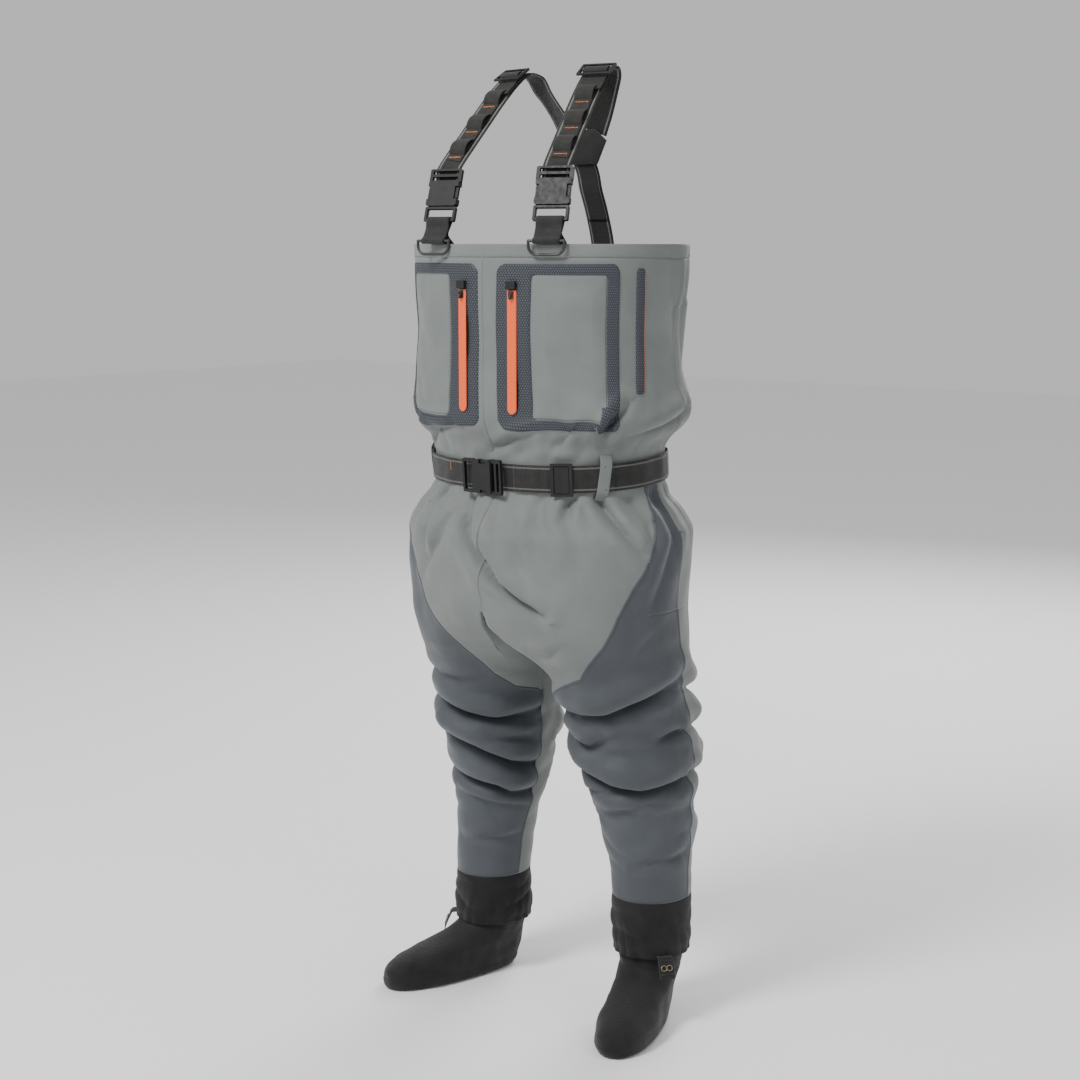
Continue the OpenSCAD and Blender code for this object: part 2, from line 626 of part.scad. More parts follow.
// Narrower webbing on the front of each brace, with loops that stand up
loop_web_w = 32;
loop_web_t = 1.4;
module loop_webbing(side) {
  path = concat([buckle_pt(side, brace_back, brace_body_h + 26)], brace_front(side));
  out = 3.6;
  lift = 9;
  function along(f) =
    let (i = min(len(path) - 2, floor(f)), q = mix(path[i], path[i + 1], f - i))
    q;
  function outwards(f) = let (d = unit(along(min(f + 0.5, 5)) - along(max(f - 0.5, 0))))
    unit(cross(yaw_dir(side), d)) * 1;
  fs = steps(0.4, 4.15, 33);
  pts = [for (i = [0:len(fs) - 1]) along(fs[i]) + outwards(fs[i])
    * (out + (i % 11 > 2 && i % 11 < 9 ? lift * sin(180 * (i % 11 - 2) / 7) : 0))];
  black() ribbon(pts, [for (p = pts) yaw_dir(side)], loop_web_w, loop_web_t);
}
module loop_webbing_right() loop_webbing(RIGHT);
module loop_webbing_left() loop_webbing(LEFT);

// Tri-glides near the top of the braces, lying on their front slope
glide_at = [90.5, 13, strap_top - 6];
glide_slope = 33;
module brace_glides()
  for (side = [RIGHT, LEFT])
    plastic() translate([side * glide_at[0], glide_at[1], glide_at[2]])
      rotate([0, 0, side * 10])
        rotate([glide_slope, 0, 0])
          difference() {
            translate([-strap_w / 2 - 6, -17, 0]) cube([strap_w + 12, 34, 4]);
            for (y = [-13, 3])
              translate([-strap_w / 2 - 1, y, -1]) cube([strap_w + 2, 10, 6]);
          }

// The patch where both braces meet at the back
module back_yoke()
  black() translate([0, yoke_y, yoke_z])
    rotate([90 - 14, 0, 0])
      linear_extrude(4, center = true)
        polygon([[-56, 14], [-34, 34], [34, 34], [56, 14], [30, -26], [-30, -26]]);

module back_strap() {
  down = [[0, yoke_y + 8, yoke_z - 30], [0, yoke_y + 28, yoke_z - 68], [0, yoke_y + 46, yoke_z - 108],
    [0, bib_half_d - 9, bib_top - 2], [0, bib_half_d - 8, bib_top - 60]];
  black() ribbon(down, [for (p = down) [1, 0, 0]], strap_w, 4);
}

// ---------- lace hooks on the ankle cuffs ----------
hook_turn = 52;
hook_reach = 80;
hook_slope = 24;
hook_r = 5.4;
hook_wire = 1.8;
module lace_hook(side)
  translate([side * ankle[0], ankle[1], side_value(cuff_low, side) + 4])
    rotate([0, 0, side * hook_turn])
      translate([0, -hook_reach, 0])
        rotate([-hook_slope, 0, 0]) {
          black() translate([-14, -1, -34]) cube([28, 2, 34]);
          metal() for (x = [-5, 5])
            translate([x, -1.9, -16])
              rotate([90, 0, 0])
                difference() {
                  cylinder(r = hook_r, h = hook_wire, center = true, $fn = 40);
                  cylinder(r = hook_r - hook_wire, h = 3, center = true, $fn = 40);
                }
        }
module lace_hook_right() lace_hook(RIGHT);
module lace_hook_left() lace_hook(LEFT);

bib_front();
bib_back();
bib_hem();
hip_front();
hip_side_right();
hip_side_left();
hip_back();
thigh_inner_right();
thigh_inner_left();
leg_front_right();
leg_front_left();
leg_back_right();
leg_back_left();
ankle_cuff_right();
ankle_cuff_left();
bootie_right();
bootie_left();
sole_right();
sole_left();
pocket_panel_right();
pocket_panel_left();
pocket_tape_right();
pocket_tape_left();
zip_tape_right();
zip_tape_left();
zip_garage();
zip_slider_right();
zip_slider_left();
zip_pull_right();
zip_pull_left();
side_pocket_tape();
side_zip_tape();
belt_webbing();
belt_loops();
belt_buckle_female();
belt_buckle_male();
belt_prong_upper();
belt_prong_lower();
belt_glide();
ring_tab_right();
ring_tab_left();
d_ring_right();
d_ring_left();
buckle_female_right();
buckle_female_left();
buckle_male_right();
buckle_male_left();
prong_outer_right();
prong_inner_right();
prong_outer_left();
prong_inner_left();
brace_right();
brace_left();
loop_webbing_right();
loop_webbing_left();
brace_glides();
back_yoke();
back_strap();
lace_hook_right();
lace_hook_left();
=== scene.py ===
"""Stockingfoot chest waders: the looks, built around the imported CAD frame.
All shapes are worked out in millimetres in the CAD frame and turned into metres as the meshes are made."""
import bmesh
import bpy
import math
import numpy as np
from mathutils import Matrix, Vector


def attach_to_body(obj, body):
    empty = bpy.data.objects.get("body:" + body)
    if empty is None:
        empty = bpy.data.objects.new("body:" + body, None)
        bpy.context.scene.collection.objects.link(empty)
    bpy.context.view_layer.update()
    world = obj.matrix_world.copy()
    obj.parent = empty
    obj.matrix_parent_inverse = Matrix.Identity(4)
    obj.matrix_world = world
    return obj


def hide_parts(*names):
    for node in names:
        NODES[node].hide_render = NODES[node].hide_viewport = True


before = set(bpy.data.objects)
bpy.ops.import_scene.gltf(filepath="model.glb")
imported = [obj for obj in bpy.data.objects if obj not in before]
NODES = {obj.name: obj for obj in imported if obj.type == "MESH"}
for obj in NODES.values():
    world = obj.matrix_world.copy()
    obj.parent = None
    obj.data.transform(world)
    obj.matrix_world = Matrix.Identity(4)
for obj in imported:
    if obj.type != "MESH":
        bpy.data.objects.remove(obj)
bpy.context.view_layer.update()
ROOT = "waders"
MM = 0.001
RIGHT, LEFT = -1, 1
SIDES = {"right": RIGHT, "left": LEFT}

# ---------------------------------------------------------------- camera, light and floor
CAMERA_TURN = 38.0
CAMERA_DISTANCE = 3.35
CAMERA_HEIGHT = 1.35
CAMERA_PITCH = -8.7
CAMERA_SHIFT = (-0.012, -0.0095)
LENS = 64.5


def make_camera():
    data = bpy.data.cameras.new("camera")
    data.lens = LENS
    data.sensor_width = 36
    cam = bpy.data.objects.new("camera", data)
    bpy.context.scene.collection.objects.link(cam)
    a = math.radians(CAMERA_TURN)
    cam.location = (CAMERA_SHIFT[0] + CAMERA_DISTANCE * math.sin(a),
                    CAMERA_SHIFT[1] - CAMERA_DISTANCE * math.cos(a), CAMERA_HEIGHT)
    cam.rotation_euler = (math.radians(90 + CAMERA_PITCH), 0, a)
    bpy.context.scene.camera = cam


def area_light(name, where, aim, size, power):
    data = bpy.data.lights.new(name, "AREA")
    data.shape = "DISK"
    data.size = size
    data.energy = power
    lamp = bpy.data.objects.new(name, data)
    bpy.context.scene.collection.objects.link(lamp)
    lamp.location = where
    lamp.rotation_euler = (Vector(aim) - Vector(where)).to_track_quat("-Z", "Y").to_euler()


def make_stage():
    world = bpy.data.worlds.new("studio")
    world.use_nodes = True
    world.node_tree.nodes["Background"].inputs["Color"].default_value = (1.0, 1.0, 1.0, 1)
    world.node_tree.nodes["Background"].inputs["Strength"].default_value = WORLD_LIGHT
    bpy.context.scene.world = world
    size = 14
    mesh = bpy.data.meshes.new("floor")
    mesh.from_pydata([(-size, -size, -0.001), (size, -size, -0.001), (size, size, -0.001),
                      (-size, size, -0.001)], [], [(0, 1, 2, 3)])
    floor = bpy.data.objects.new("floor", mesh)
    bpy.context.scene.collection.objects.link(floor)
    mat = Material("floor", (0.93, 0.93, 0.93), 0.9)
    floor.data.materials.append(mat.done())
    area_light("key", (-0.6, -3.2, 4.2), (0.05, 0, 0.8), 1.5, KEY_LIGHT)
    area_light("side", (4.2, -1.0, 2.2), (0, 0, 0.9), 2.2, SIDE_LIGHT)
    area_light("fill", (-3.8, -2.4, 1.8), (0, 0, 0.8), 2.8, FILL_LIGHT)
    area_light("back", (-1.0, 4.0, 3.2), (0, 0, 1.0), 2.6, BACK_LIGHT)


WORLD_LIGHT = 0.62
KEY_LIGHT = 190
SIDE_LIGHT = 18
FILL_LIGHT = 10
BACK_LIGHT = 150


# ---------------------------------------------------------------- materials
def linear(*rgb):
    return tuple(c / 12.92 if c <= 0.04045 else ((c + 0.055) / 1.055) ** 2.4
                 for c in (v / 255 for v in rgb))


class Material:
    """A Principled material whose nodes are added by short calls."""

    def __init__(self, name, colour, roughness, **sockets):
        self.mat = bpy.data.materials.new(name)
        self.mat.use_nodes = True
        self.nodes = self.mat.node_tree.nodes
        self.links = self.mat.node_tree.links
        self.shader = self.nodes["Principled BSDF"]
        self.colour = colour
        self.shader.inputs["Base Color"].default_value = (*colour, 1)
        self.shader.inputs["Roughness"].default_value = roughness
        for key, value in sockets.items():
            self.shader.inputs[key.replace("_", " ")].default_value = value
        self.heights = []

    def node(self, kind, inputs=(), **attrs):
        n = self.nodes.new(kind)
        for k, v in attrs.items():
            setattr(n, k, v)
        for k, v in dict(inputs).items():
            if isinstance(v, bpy.types.NodeSocket):
                self.links.new(v, n.inputs[k])
            else:
                n.inputs[k].default_value = v
        return n

    def math(self, op, a, b=0.0, c=0.0):
        return self.node("ShaderNodeMath", {0: a, 1: b, 2: c}, operation=op).outputs[0]

    def coords(self, kind="Object"):
        return self.node("ShaderNodeTexCoord").outputs[kind]

    def noise(self, scale, detail=3, kind="Object", rough=0.5):
        return self.node("ShaderNodeTexNoise", {"Vector": self.coords(kind), "Scale": scale,
                         "Detail": detail, "Roughness": rough}).outputs["Fac"]

    def ramp(self, fac, *stops):
        n = self.node("ShaderNodeValToRGB", {"Fac": fac})
        while len(n.color_ramp.elements) < len(stops):
            n.color_ramp.elements.new(0.5)
        for e, (at, c) in zip(n.color_ramp.elements, stops):
            e.position = at
            e.color = (c, c, c, 1) if isinstance(c, (int, float)) else (*c, 1)
        return n.outputs["Color"]

    def blend(self, fac, a, b):
        n = self.node("ShaderNodeMix", data_type="RGBA")
        for key, v in ((0, fac), (6, a), (7, b)):
            if isinstance(v, bpy.types.NodeSocket):
                self.links.new(v, n.inputs[key])
            else:
                n.inputs[key].default_value = (*v, 1) if isinstance(v, tuple) else v
        return n.outputs[2]

    def paint(self, colour):
        self.links.new(colour, self.shader.inputs["Base Color"])

    def rough(self, low, high, scale):
        spread = self.node("ShaderNodeMapRange", {"Value": self.noise(scale), "From Min": 0.3,
                           "From Max": 0.7, "To Min": low, "To Max": high})
        self.links.new(spread.outputs[0], self.shader.inputs["Roughness"])

    def bump(self, height, strength, distance):
        self.heights.append((height, strength, distance))

    def done(self):
        last = None
        for height, strength, distance in self.heights:
            n = self.node("ShaderNodeBump", {"Height": height, "Strength": strength,
                          "Distance": distance})
            if last is not None:
                self.links.new(last, n.inputs["Normal"])
            last = n.outputs["Normal"]
        if last is not None:
            self.links.new(last, self.shader.inputs["Normal"])
        return self.mat


def uv_parts(m):
    split = m.node("ShaderNodeSeparateXYZ", {"Vector": m.coords("UV")})
    return split.outputs[0], split.outputs[1]


def ripple(m, value, pitch):
    """0..1 wave with that pitch along value, both in metres."""
    return m.math("MULTIPLY_ADD", m.math("SINE", m.math("MULTIPLY", value, 2 * math.pi / pitch)),
                  0.5, 0.5)


def shell_fabric(name, colour):
    m = Material(name, colour, 0.62, Sheen_Weight=0.18, Sheen_Roughness=0.45,
                 Specular_IOR_Level=0.32)
    u, v = uv_parts(m)
    weave = m.math("MULTIPLY", ripple(m, u, 0.0011), ripple(m, v, 0.0011))
    fleck = m.noise(900, 2)
    cloud = m.noise(7, 4, rough=0.6)
    dark = tuple(c * 0.86 for c in colour)
    light = tuple(min(1, c * 1.10) for c in colour)
    base = m.blend(m.ramp(cloud, (0.32, 0.0), (0.68, 1.0)), dark, light)
    thread = m.blend(m.math("MULTIPLY", weave, 0.22), base, tuple(c * 0.80 for c in colour))
    m.paint(m.blend(m.math("MULTIPLY", fleck, 0.16), thread, tuple(c * 1.18 for c in colour)))
    m.rough(0.54, 0.70, 30)
    m.bump(weave, 0.25, 0.0004)
    m.bump(m.noise(160, 4), 0.18, 0.0012)
    m.bump(m.noise(26, 5), 0.22, 0.006)
    return m.done()


def mesh_tape(name):
    """Dark bonded tape printed with a hexagonal net of lighter cells."""
    ground, cell = linear(32, 35, 40), linear(86, 92, 101)
    m = Material(name, ground, 0.5, Specular_IOR_Level=0.4)
    u, v = uv_parts(m)
    pitch = 0.0046
    tall = pitch * math.sqrt(3)

    def spot(shift):
        x = m.math("SUBTRACT", m.math("FRACT", m.math("ADD", m.math("DIVIDE", u, pitch), shift)), 0.5)
        y = m.math("SUBTRACT", m.math("FRACT", m.math("ADD", m.math("DIVIDE", v, tall), shift)), 0.5)
        y = m.math("MULTIPLY", y, math.sqrt(3))
        return m.math("SQRT", m.math("ADD", m.math("MULTIPLY", x, x), m.math("MULTIPLY", y, y)))

    near = m.math("MINIMUM", spot(0.0), spot(0.5))
    dots = m.ramp(near, (0.30, 1.0), (0.42, 0.0))
    m.paint(m.blend(m.math("MULTIPLY", dots, 0.62), ground, cell))
    m.rough(0.42, 0.6, 60)
    m.bump(dots, 0.5, 0.0006)
    return m.done()


def webbing(name, width, stripes=True, colour=linear(31, 31, 30), stripe=linear(124, 124, 118)):
    """Ribbed nylon webbing; u runs across it from 0 to width and v along it."""
    m = Material(name, colour, 0.72, Sheen_Weight=0.15, Specular_IOR_Level=0.35)
    u, v = uv_parts(m)
    ribs = ripple(m, v, 0.0024)
    ends = ripple(m, u, 0.0016)
    cloth = m.math("MULTIPLY", ribs, ends)
    base = m.blend(cloth, tuple(c * 0.7 for c in colour), tuple(c * 1.5 for c in colour))
    if stripes:
        middle = m.math("ABSOLUTE", m.math("SUBTRACT", u, width / 2))
        at = m.math("ABSOLUTE", m.math("SUBTRACT", middle, width * 0.385))
        line = m.math("LESS_THAN", at, 0.0013)
        base = m.blend(m.math("MULTIPLY", line, m.math("MULTIPLY_ADD", ribs, 0.35, 0.6)), base, stripe)
    m.paint(base)
    m.rough(0.62, 0.82, 80)
    m.bump(cloth, 0.6, 0.0006)
    m.bump(m.noise(300, 3), 0.2, 0.0006)
    return m.done()


def neoprene(name, colour, knit, sheen):
    m = Material(name, colour, 0.8, Sheen_Weight=sheen, Sheen_Roughness=0.5, Specular_IOR_Level=0.25)
    u, v = uv_parts(m)
    loops = m.math("MULTIPLY", ripple(m, u, knit), ripple(m, v, knit * 0.8))
    cloud = m.ramp(m.noise(14, 4), (0.3, 0.0), (0.7, 1.0))
    base = m.blend(cloud, tuple(c * 0.75 for c in colour), tuple(c * 1.45 for c in colour))
    m.paint(m.blend(m.math("MULTIPLY", loops, 0.3), base, tuple(c * 2.0 for c in colour)))
    m.rough(0.72, 0.9, 50)
    m.bump(loops, 0.35, 0.0005)
    m.bump(m.noise(60, 4), 0.25, 0.002)
    return m.done()


def plastic(name, colour, low=0.30, high=0.46):
    m = Material(name, colour, low, Specular_IOR_Level=0.35)
    m.rough(low, high, 120)
    cloud = m.ramp(m.noise(40, 3), (0.3, 0.0), (0.7, 1.0))
    m.paint(m.blend(cloud, tuple(c * 0.85 for c in colour), tuple(c * 1.2 for c in colour)))
    m.bump(m.noise(900, 3), 0.12, 0.0003)
    return m.done()


def gunmetal(name, colour, rough_low=0.28):
    m = Material(name, colour, rough_low, Metallic=0.9)
    m.rough(rough_low, rough_low + 0.18, 90)
    wear = m.ramp(m.noise(55, 5), (0.45, 0.0), (0.75, 1.0))
    m.paint(m.blend(wear, colour, tuple(min(1, c * 1.5) for c in colour)))
    m.bump(m.noise(500, 3), 0.1, 0.0003)
    return m.done()


def zip_coating(name, colour):
    m = Material(name, colour, 0.42, Specular_IOR_Level=0.45)
    teeth = ripple(m, uv_parts(m)[1], 0.0022)
    m.paint(m.blend(m.math("MULTIPLY", m.noise(200, 3), 0.35), colour, tuple(c * 0.8 for c in colour)))
    m.rough(0.36, 0.5, 70)
    m.bump(teeth, 0.25, 0.0004)
    return m.done()


LIGHT_SHELL = shell_fabric("shell_light", linear(112, 117, 115))
DARK_SHELL = shell_fabric("shell_dark", linear(70, 74, 79))
TAPE = mesh_tape("mesh_tape")
CUFF = neoprene("cuff_fabric", linear(24, 24, 25), 0.0019, 0.10)
SOCK = neoprene("neoprene", linear(28, 28, 28), 0.0030, 0.14)
BELT_WEB = webbing("belt_webbing", 0.046, stripe=linear(98, 98, 94))
BRACE_WEB = webbing("brace_webbing", 0.050)
PLAIN_WEB = webbing("plain_webbing", 0.050, stripes=False)
LOOP_WEB = webbing("loop_webbing", 0.032, stripes=False, colour=linear(36, 35, 33))
BLACK_PLASTIC = plastic("black_plastic", linear(27, 28, 27), 0.44, 0.60)
METAL = gunmetal("gunmetal", linear(70, 70, 68), 0.42)
BRONZE = gunmetal("bronze_ring", linear(132, 122, 96))
ORANGE = zip_coating("zip_orange", linear(255, 100, 42))
ORANGE_THREAD = plastic("orange_thread", linear(226, 138, 84), 0.6, 0.75)
GREY_THREAD = plastic("grey_thread", linear(120, 124, 124), 0.6, 0.75)
DARK_THREAD = plastic("dark_thread", linear(64, 67, 70), 0.6, 0.75)

# ---------------------------------------------------------------- the garment's sections, as in the CAD
BIB_TOP, Z_WAIST, Z_CROTCH = 1350.0, 975.0, 740.0
HEM = 22.0
CUFF_TOP = {RIGHT: 192.0, LEFT: 218.0}
CUFF_LOW = {RIGHT: 100.0, LEFT: 118.0}
ROUNDNESS = 0.87
FABRIC = 1.5


def table(*pairs):
    at = np.array([p[0] for p in pairs], float)
    value = np.array([p[1] for p in pairs], float)
    return lambda z: np.interp(z, at, value)


torso_a = table((740, 258), (800, 260), (870, 260), (910, 234), (928, 214), (1024, 214), (1038, 236),
                (1056, 254), (1080, 262), (1120, 254), (1200, 246), (1300, 256), (1350, 258))
torso_b = table((740, 184), (800, 186), (870, 184), (910, 164), (928, 148), (1024, 148), (1038, 159),
                (1056, 165), (1350, 165))
leg_cx = table((190, 181), (260, 177), (350, 167), (430, 156), (480, 151), (540, 143), (600, 137),
               (660, 134), (740, 131))
leg_cy = table((190, 66), (350, 70), (430, 64), (480, 60), (540, 50), (600, 34), (660, 18), (740, 4))
leg_a = table((190, 66), (260, 70), (350, 83), (430, 92), (480, 98), (540, 103), (600, 110),
              (660, 118), (740, 126))
leg_b = table((190, 72), (260, 76), (350, 88), (430, 102), (480, 112), (540, 122), (600, 136),
              (660, 150), (740, 160))
hip_turn = {LEFT: table((740, 58.65), (820, 73), (885, 81), (975, 88)),
            RIGHT: table((740, 32), (790, 38), (835, 52), (880, 72), (975, 88))}
thigh_seam = {LEFT: table((0, -82), (560, -82), (580, -45), (630, 11), (690, 30), (740, 39.5)),
              RIGHT: table((0, -82), (560, -82), (573, -56), (600, -40), (660, -27), (700, -17),
                           (740, -3.44))}
SIDE_TURN, OUTER_SEAM, INNER_SEAM = 96.2, 100.0, -82.0
FRONT_MIDDLE, BACK_MIDDLE = -55.0, 235.0   # a leg's turns that meet the torso's front and back middle
LEG_GAP = 3.0


def smooth_table(f, z, reach=9.0):
    """The table's value with its corners rounded off."""
    return sum(f(z + d) * w for d, w in ((-reach, 0.2), (-reach / 2, 0.2), (0, 0.2),
                                         (reach / 2, 0.2), (reach, 0.2)))


def power(v, p):
    return np.sign(v) * np.abs(v) ** p


def smoothstep(x, low, high):
    t = np.clip((x - low) / (high - low), 0, 1)
    return t * t * (3 - 2 * t)


def stack(*parts):
    return np.stack(np.broadcast_arrays(*parts), -1)


def torso_base(z, turn, off=0.0):
    t = np.radians(turn)
    return stack((smooth_table(torso_a, z) + off) * power(np.sin(t), ROUNDNESS),
                 -(smooth_table(torso_b, z) + off) * power(np.cos(t), ROUNDNESS), z + 0 * turn)


def wrap(turn):
    """The leg's turn counted from its front middle line round the outside to the back and inside."""
    return np.where(turn < FRONT_MIDDLE, turn + 360, turn)


def on_hips(side, wrapped):
    """The torso's turn that a leg's turn joins at the crotch."""
    return side * 180 * (wrapped - FRONT_MIDDLE) / (BACK_MIDDLE - FRONT_MIDDLE)


def leg_base(side, z, turn, off=0.0):
    """Turn 0 is the front, 90 the outside; the top is half of the torso's outline."""
    wrapped = wrap(turn)
    outline = torso_base(np.full_like(wrapped * 1.0, Z_CROTCH), on_hips(1, wrapped), off)
    across = (wrapped - BACK_MIDDLE) / (360 + FRONT_MIDDLE - BACK_MIDDLE)
    inner = wrapped > BACK_MIDDLE
    gap = LEG_GAP * smoothstep(Z_CROTCH - z, 0, 30)
    x = np.where(inner, gap - off, np.maximum(outline[..., 0], gap))
    y = np.where(inner, (1 - 2 * across) * (torso_b(Z_CROTCH) + off), outline[..., 1])
    t = np.radians(turn)
    rx = leg_cx(z) + (leg_a(z) + off) * np.sin(t)
    ry = leg_cy(z) - (leg_b(z) + off) * np.cos(t)
    down = smoothstep(Z_CROTCH - z, 0, 140)
    return stack(side * (x + (rx - x) * down), y + (ry - y) * down, z + 0 * turn)


# ---------------------------------------------------------------- folds
def sines(p, scale, seed, count=7):
    """Smooth noise of about -1..1 that changes over scale millimetres."""
    rng = np.random.default_rng(seed)
    total = 0
    for _ in range(count):
        d = rng.normal(size=3)
        d *= (0.6 + 0.8 * rng.random()) / np.linalg.norm(d)
        total = total + np.sin((p @ d) * (2 * math.pi / scale) + rng.random() * 2 * math.pi)
    return total / math.sqrt(count) * 0.9


def puff(phase, sharp=0.65):
    """Rounded ridges between narrow valleys, 0 in a valley and 1 on a ridge."""
    return np.abs(np.sin(math.pi * phase)) ** sharp


def crease(s, z, line, depth, width, lip=0.9):
    """A valley along a line of (s, z) points in millimetres, with a lip that hangs over it."""
    best = np.full(np.broadcast(s, z).shape, 1e9)
    signed = np.zeros_like(best)
    fade = np.zeros_like(best)
    total = len(line) - 1
    for i, ((s0, z0), (s1, z1)) in enumerate(zip(line[:-1], line[1:])):
        ds, dz = s1 - s0, z1 - z0
        length = math.hypot(ds, dz)
        t = ((s - s0) * ds + (z - z0) * dz) / length ** 2
        tc = np.clip(t, 0, 1)
        d = np.hypot(s - s0 - tc * ds, z - z0 - tc * dz)
        up = (z - z0 - tc * dz) * abs(ds) / length - (s - s0 - tc * ds) * dz * np.sign(ds) / length
        along = (i + tc) / total
        closer = d < best
        best = np.where(closer, d, best)
        signed = np.where(closer, np.where(up >= 0, d, -d), signed)
        fade = np.where(closer, np.sin(math.pi * np.clip(along * 0.9 + 0.05, 0, 1)) ** 0.6, fade)
    valley = -depth / (1 + (best / width) ** 2) ** 1.3
    ridge = depth * lip * np.exp(-((signed - 2.1 * width) / (1.5 * width)) ** 2)
    under = depth * 0.45 * np.exp(-((signed + 2.4 * width) / (1.6 * width)) ** 2)
    drop = -depth * 0.7 * np.exp(-((signed - 1.2 * width) / (1.4 * width)) ** 2)
    return (valley + ridge + under) * fade, drop * fade


BELT_TILT = math.radians(4)


def belt_height(y):
    return Z_WAIST + y * math.tan(BELT_TILT)


def torso_folds(p, z, turn):
    """(outward, down) displacement of the torso in millimetres."""
    s = turn * 3.75
    from_belt = z - belt_height(p[..., 1])
    over, under = np.clip(from_belt - 25, 0, None), np.clip(-from_belt - 25, 0, None)
    warp = sines(p, 260, 3)
    wave = puff(s / 58 + 0.45 * warp, 0.8) - 0.55
    fine = puff(s / 33 + 0.5 * sines(p, 190, 5), 0.8) - 0.55
    bib = smoothstep(from_belt, 22, 46)
    hip = smoothstep(-from_belt, 22, 46)
    out = bib * (9.0 * np.exp(-over / 36) * wave + 4.5 * np.exp(-over / 22) * fine)
    out += hip * (10.0 * np.exp(-under / 62) * wave + 5.0 * np.exp(-under / 34) * fine)
    out += bib * (4.2 * sines(p, 210, 11) + 1.8 * sines(p, 90, 12)) * smoothstep(BIB_TOP - z, 0, 60)
    out += hip * (3.2 * sines(p * (1, 1, 0.45), 150, 13) + 1.4 * sines(p * (1, 1, 0.7), 80, 14))
    front_pockets = smoothstep(80 - np.abs((turn + 180) % 360 - 180), 0, 10) * smoothstep(z, 1030, 1075)
    strips = smoothstep(14 - np.abs(np.abs((turn + 180) % 360 - 180) - 69), 0, 6)
    bib_calm = 1 - (0.62 + 0.3 * strips) * front_pockets
    out *= bib_calm
    down = 0 * out
    for line, depth, width in TORSO_CREASES:
        more, drop = crease(turn * 3.9, z, [(t * 3.9, h) for t, h in line], depth, width)
        out = out + more
        down = down + drop
    squeeze = smoothstep(np.abs(from_belt), 18, 40)
    return out * squeeze, down * squeeze


# Creases as lines of (turn, height), with a depth and a half width
TORSO_CREASES = [
    ([(-12, 962), (-8, 900), (-2, 850), (5, 799), (15, 766), (24, 742)], 20.0, 9),
    ([(8, 950), (10, 895), (14, 832), (20, 760)], 3.5, 7),
    ([(49, 966), (54, 933), (62, 886), (71, 850)], 13.0, 9),
    ([(45, 966), (37, 930), (33, 900)], 9.0, 7),
    ([(-27, 962), (-35, 915), (-31, 870), (-30, 820)], 11.0, 10),
    ([(-18, 958), (-16, 905), (-20, 850), (-32, 790)], 8.0, 9),
    ([(-62, 955), (-56, 880), (-44, 800)], 6.0, 12),
    ([(24, 960), (22, 900), (28, 850)], 4.5, 9),
    ([(70, 955), (80, 900), (74, 830)], 5.0, 11),
    ([(92, 950), (92, 880), (84, 800), (78, 750)], 5.5, 12),
    ([(-52, 1014), (-34, 1040), (-16, 1046)], 11.0, 8),
    ([(0, 1012), (8, 1034), (18, 1042)], 8.0, 6),
    ([(56, 1014), (50, 1046), (54, 1072), (62, 1096)], 11.0, 8),
    ([(62, 1036), (83, 1054), (102, 1080)], 13.0, 10),
    ([(30, 1022), (34, 1044), (28, 1062)], 4.0, 7),
    ([(88, 1330), (94, 1250), (98, 1170)], 4.0, 12),
    ([(110, 1340), (104, 1260), (110, 1150)], 6.0, 16),
    ([(140, 930), (150, 860), (160, 800)], 6.0, 12),
    ([(172, 950), (176, 880), (180, 780)], 5.0, 12),
    ([(200, 930), (206, 850), (212, 790)], 6.0, 12),
    ([(150, 1030), (168, 1062), (190, 1070), (208, 1040)], 7.0, 11),
    ([(228, 1036), (240, 1070), (256, 1080)], 6.0, 10),
    ([(160, 1320), (166, 1220), (158, 1130)], 4.0, 16),
]

LEG_CREASES = {
    LEFT: [
        ([(-50, 562), (-4, 562), (23, 569), (51, 590), (74, 604), (100, 628)], 22, 12),
        ([(-40, 514), (-10, 502), (16, 523)], 11, 9),
        ([(-60, 482), (-44, 467), (7, 438), (37, 431), (76, 438), (104, 444)], 25, 13),
        ([(-50, 436), (-28, 416), (8, 420)], 10, 9),
        ([(-50, 361), (9, 388), (44, 402), (70, 400)], 7, 10),
        ([(13, 279), (50, 298), (90, 304)], 5, 9),
        ([(60, 684), (71, 707), (92, 735)], 6, 12),
        ([(60, 512), (86, 528), (108, 520)], 12, 10),
        ([(0, 690), (-14, 672), (-30, 668)], 6, 9),
        ([(98, 600), (150, 580), (190, 590), (240, 572)], 16, 12),
        ([(104, 530), (160, 508), (230, 520)], 17, 12),
        ([(100, 452), (160, 440), (240, 458)], 14, 12),
        ([(120, 372), (180, 362), (230, 380)], 8, 11),
        ([(150, 690), (180, 660), (205, 680)], 7, 13),
    ],
    RIGHT: [
        ([(70, 560), (28, 543), (-7, 526), (-37, 517), (-64, 521), (-94, 530)], 20, 11),
        ([(80, 520), (43, 494), (-14, 461), (-49, 431), (-84, 415)], 24, 12),
        ([(60, 410), (3, 392), (-34, 381), (-53, 366), (-90, 362)], 18, 11),
        ([(20, 360), (-40, 342), (-80, 330)], 6, 9),
        ([(20, 262), (-30, 268), (-80, 276)], 4, 9),
        ([(60, 600), (20, 590), (-30, 600)], 8, 12),
        ([(10, 486), (-30, 482), (-66, 470)], 8, 9),
        ([(98, 600), (150, 580), (190, 590), (240, 572)], 16, 12),
        ([(90, 520), (160, 500), (230, 514)], 17, 12),
        ([(80, 440), (160, 430), (240, 448)], 14, 12),
        ([(120, 360), (180, 352), (230, 366)], 8, 11),
        ([(150, 690), (180, 660), (205, 680)], 7, 13),
    ],
}


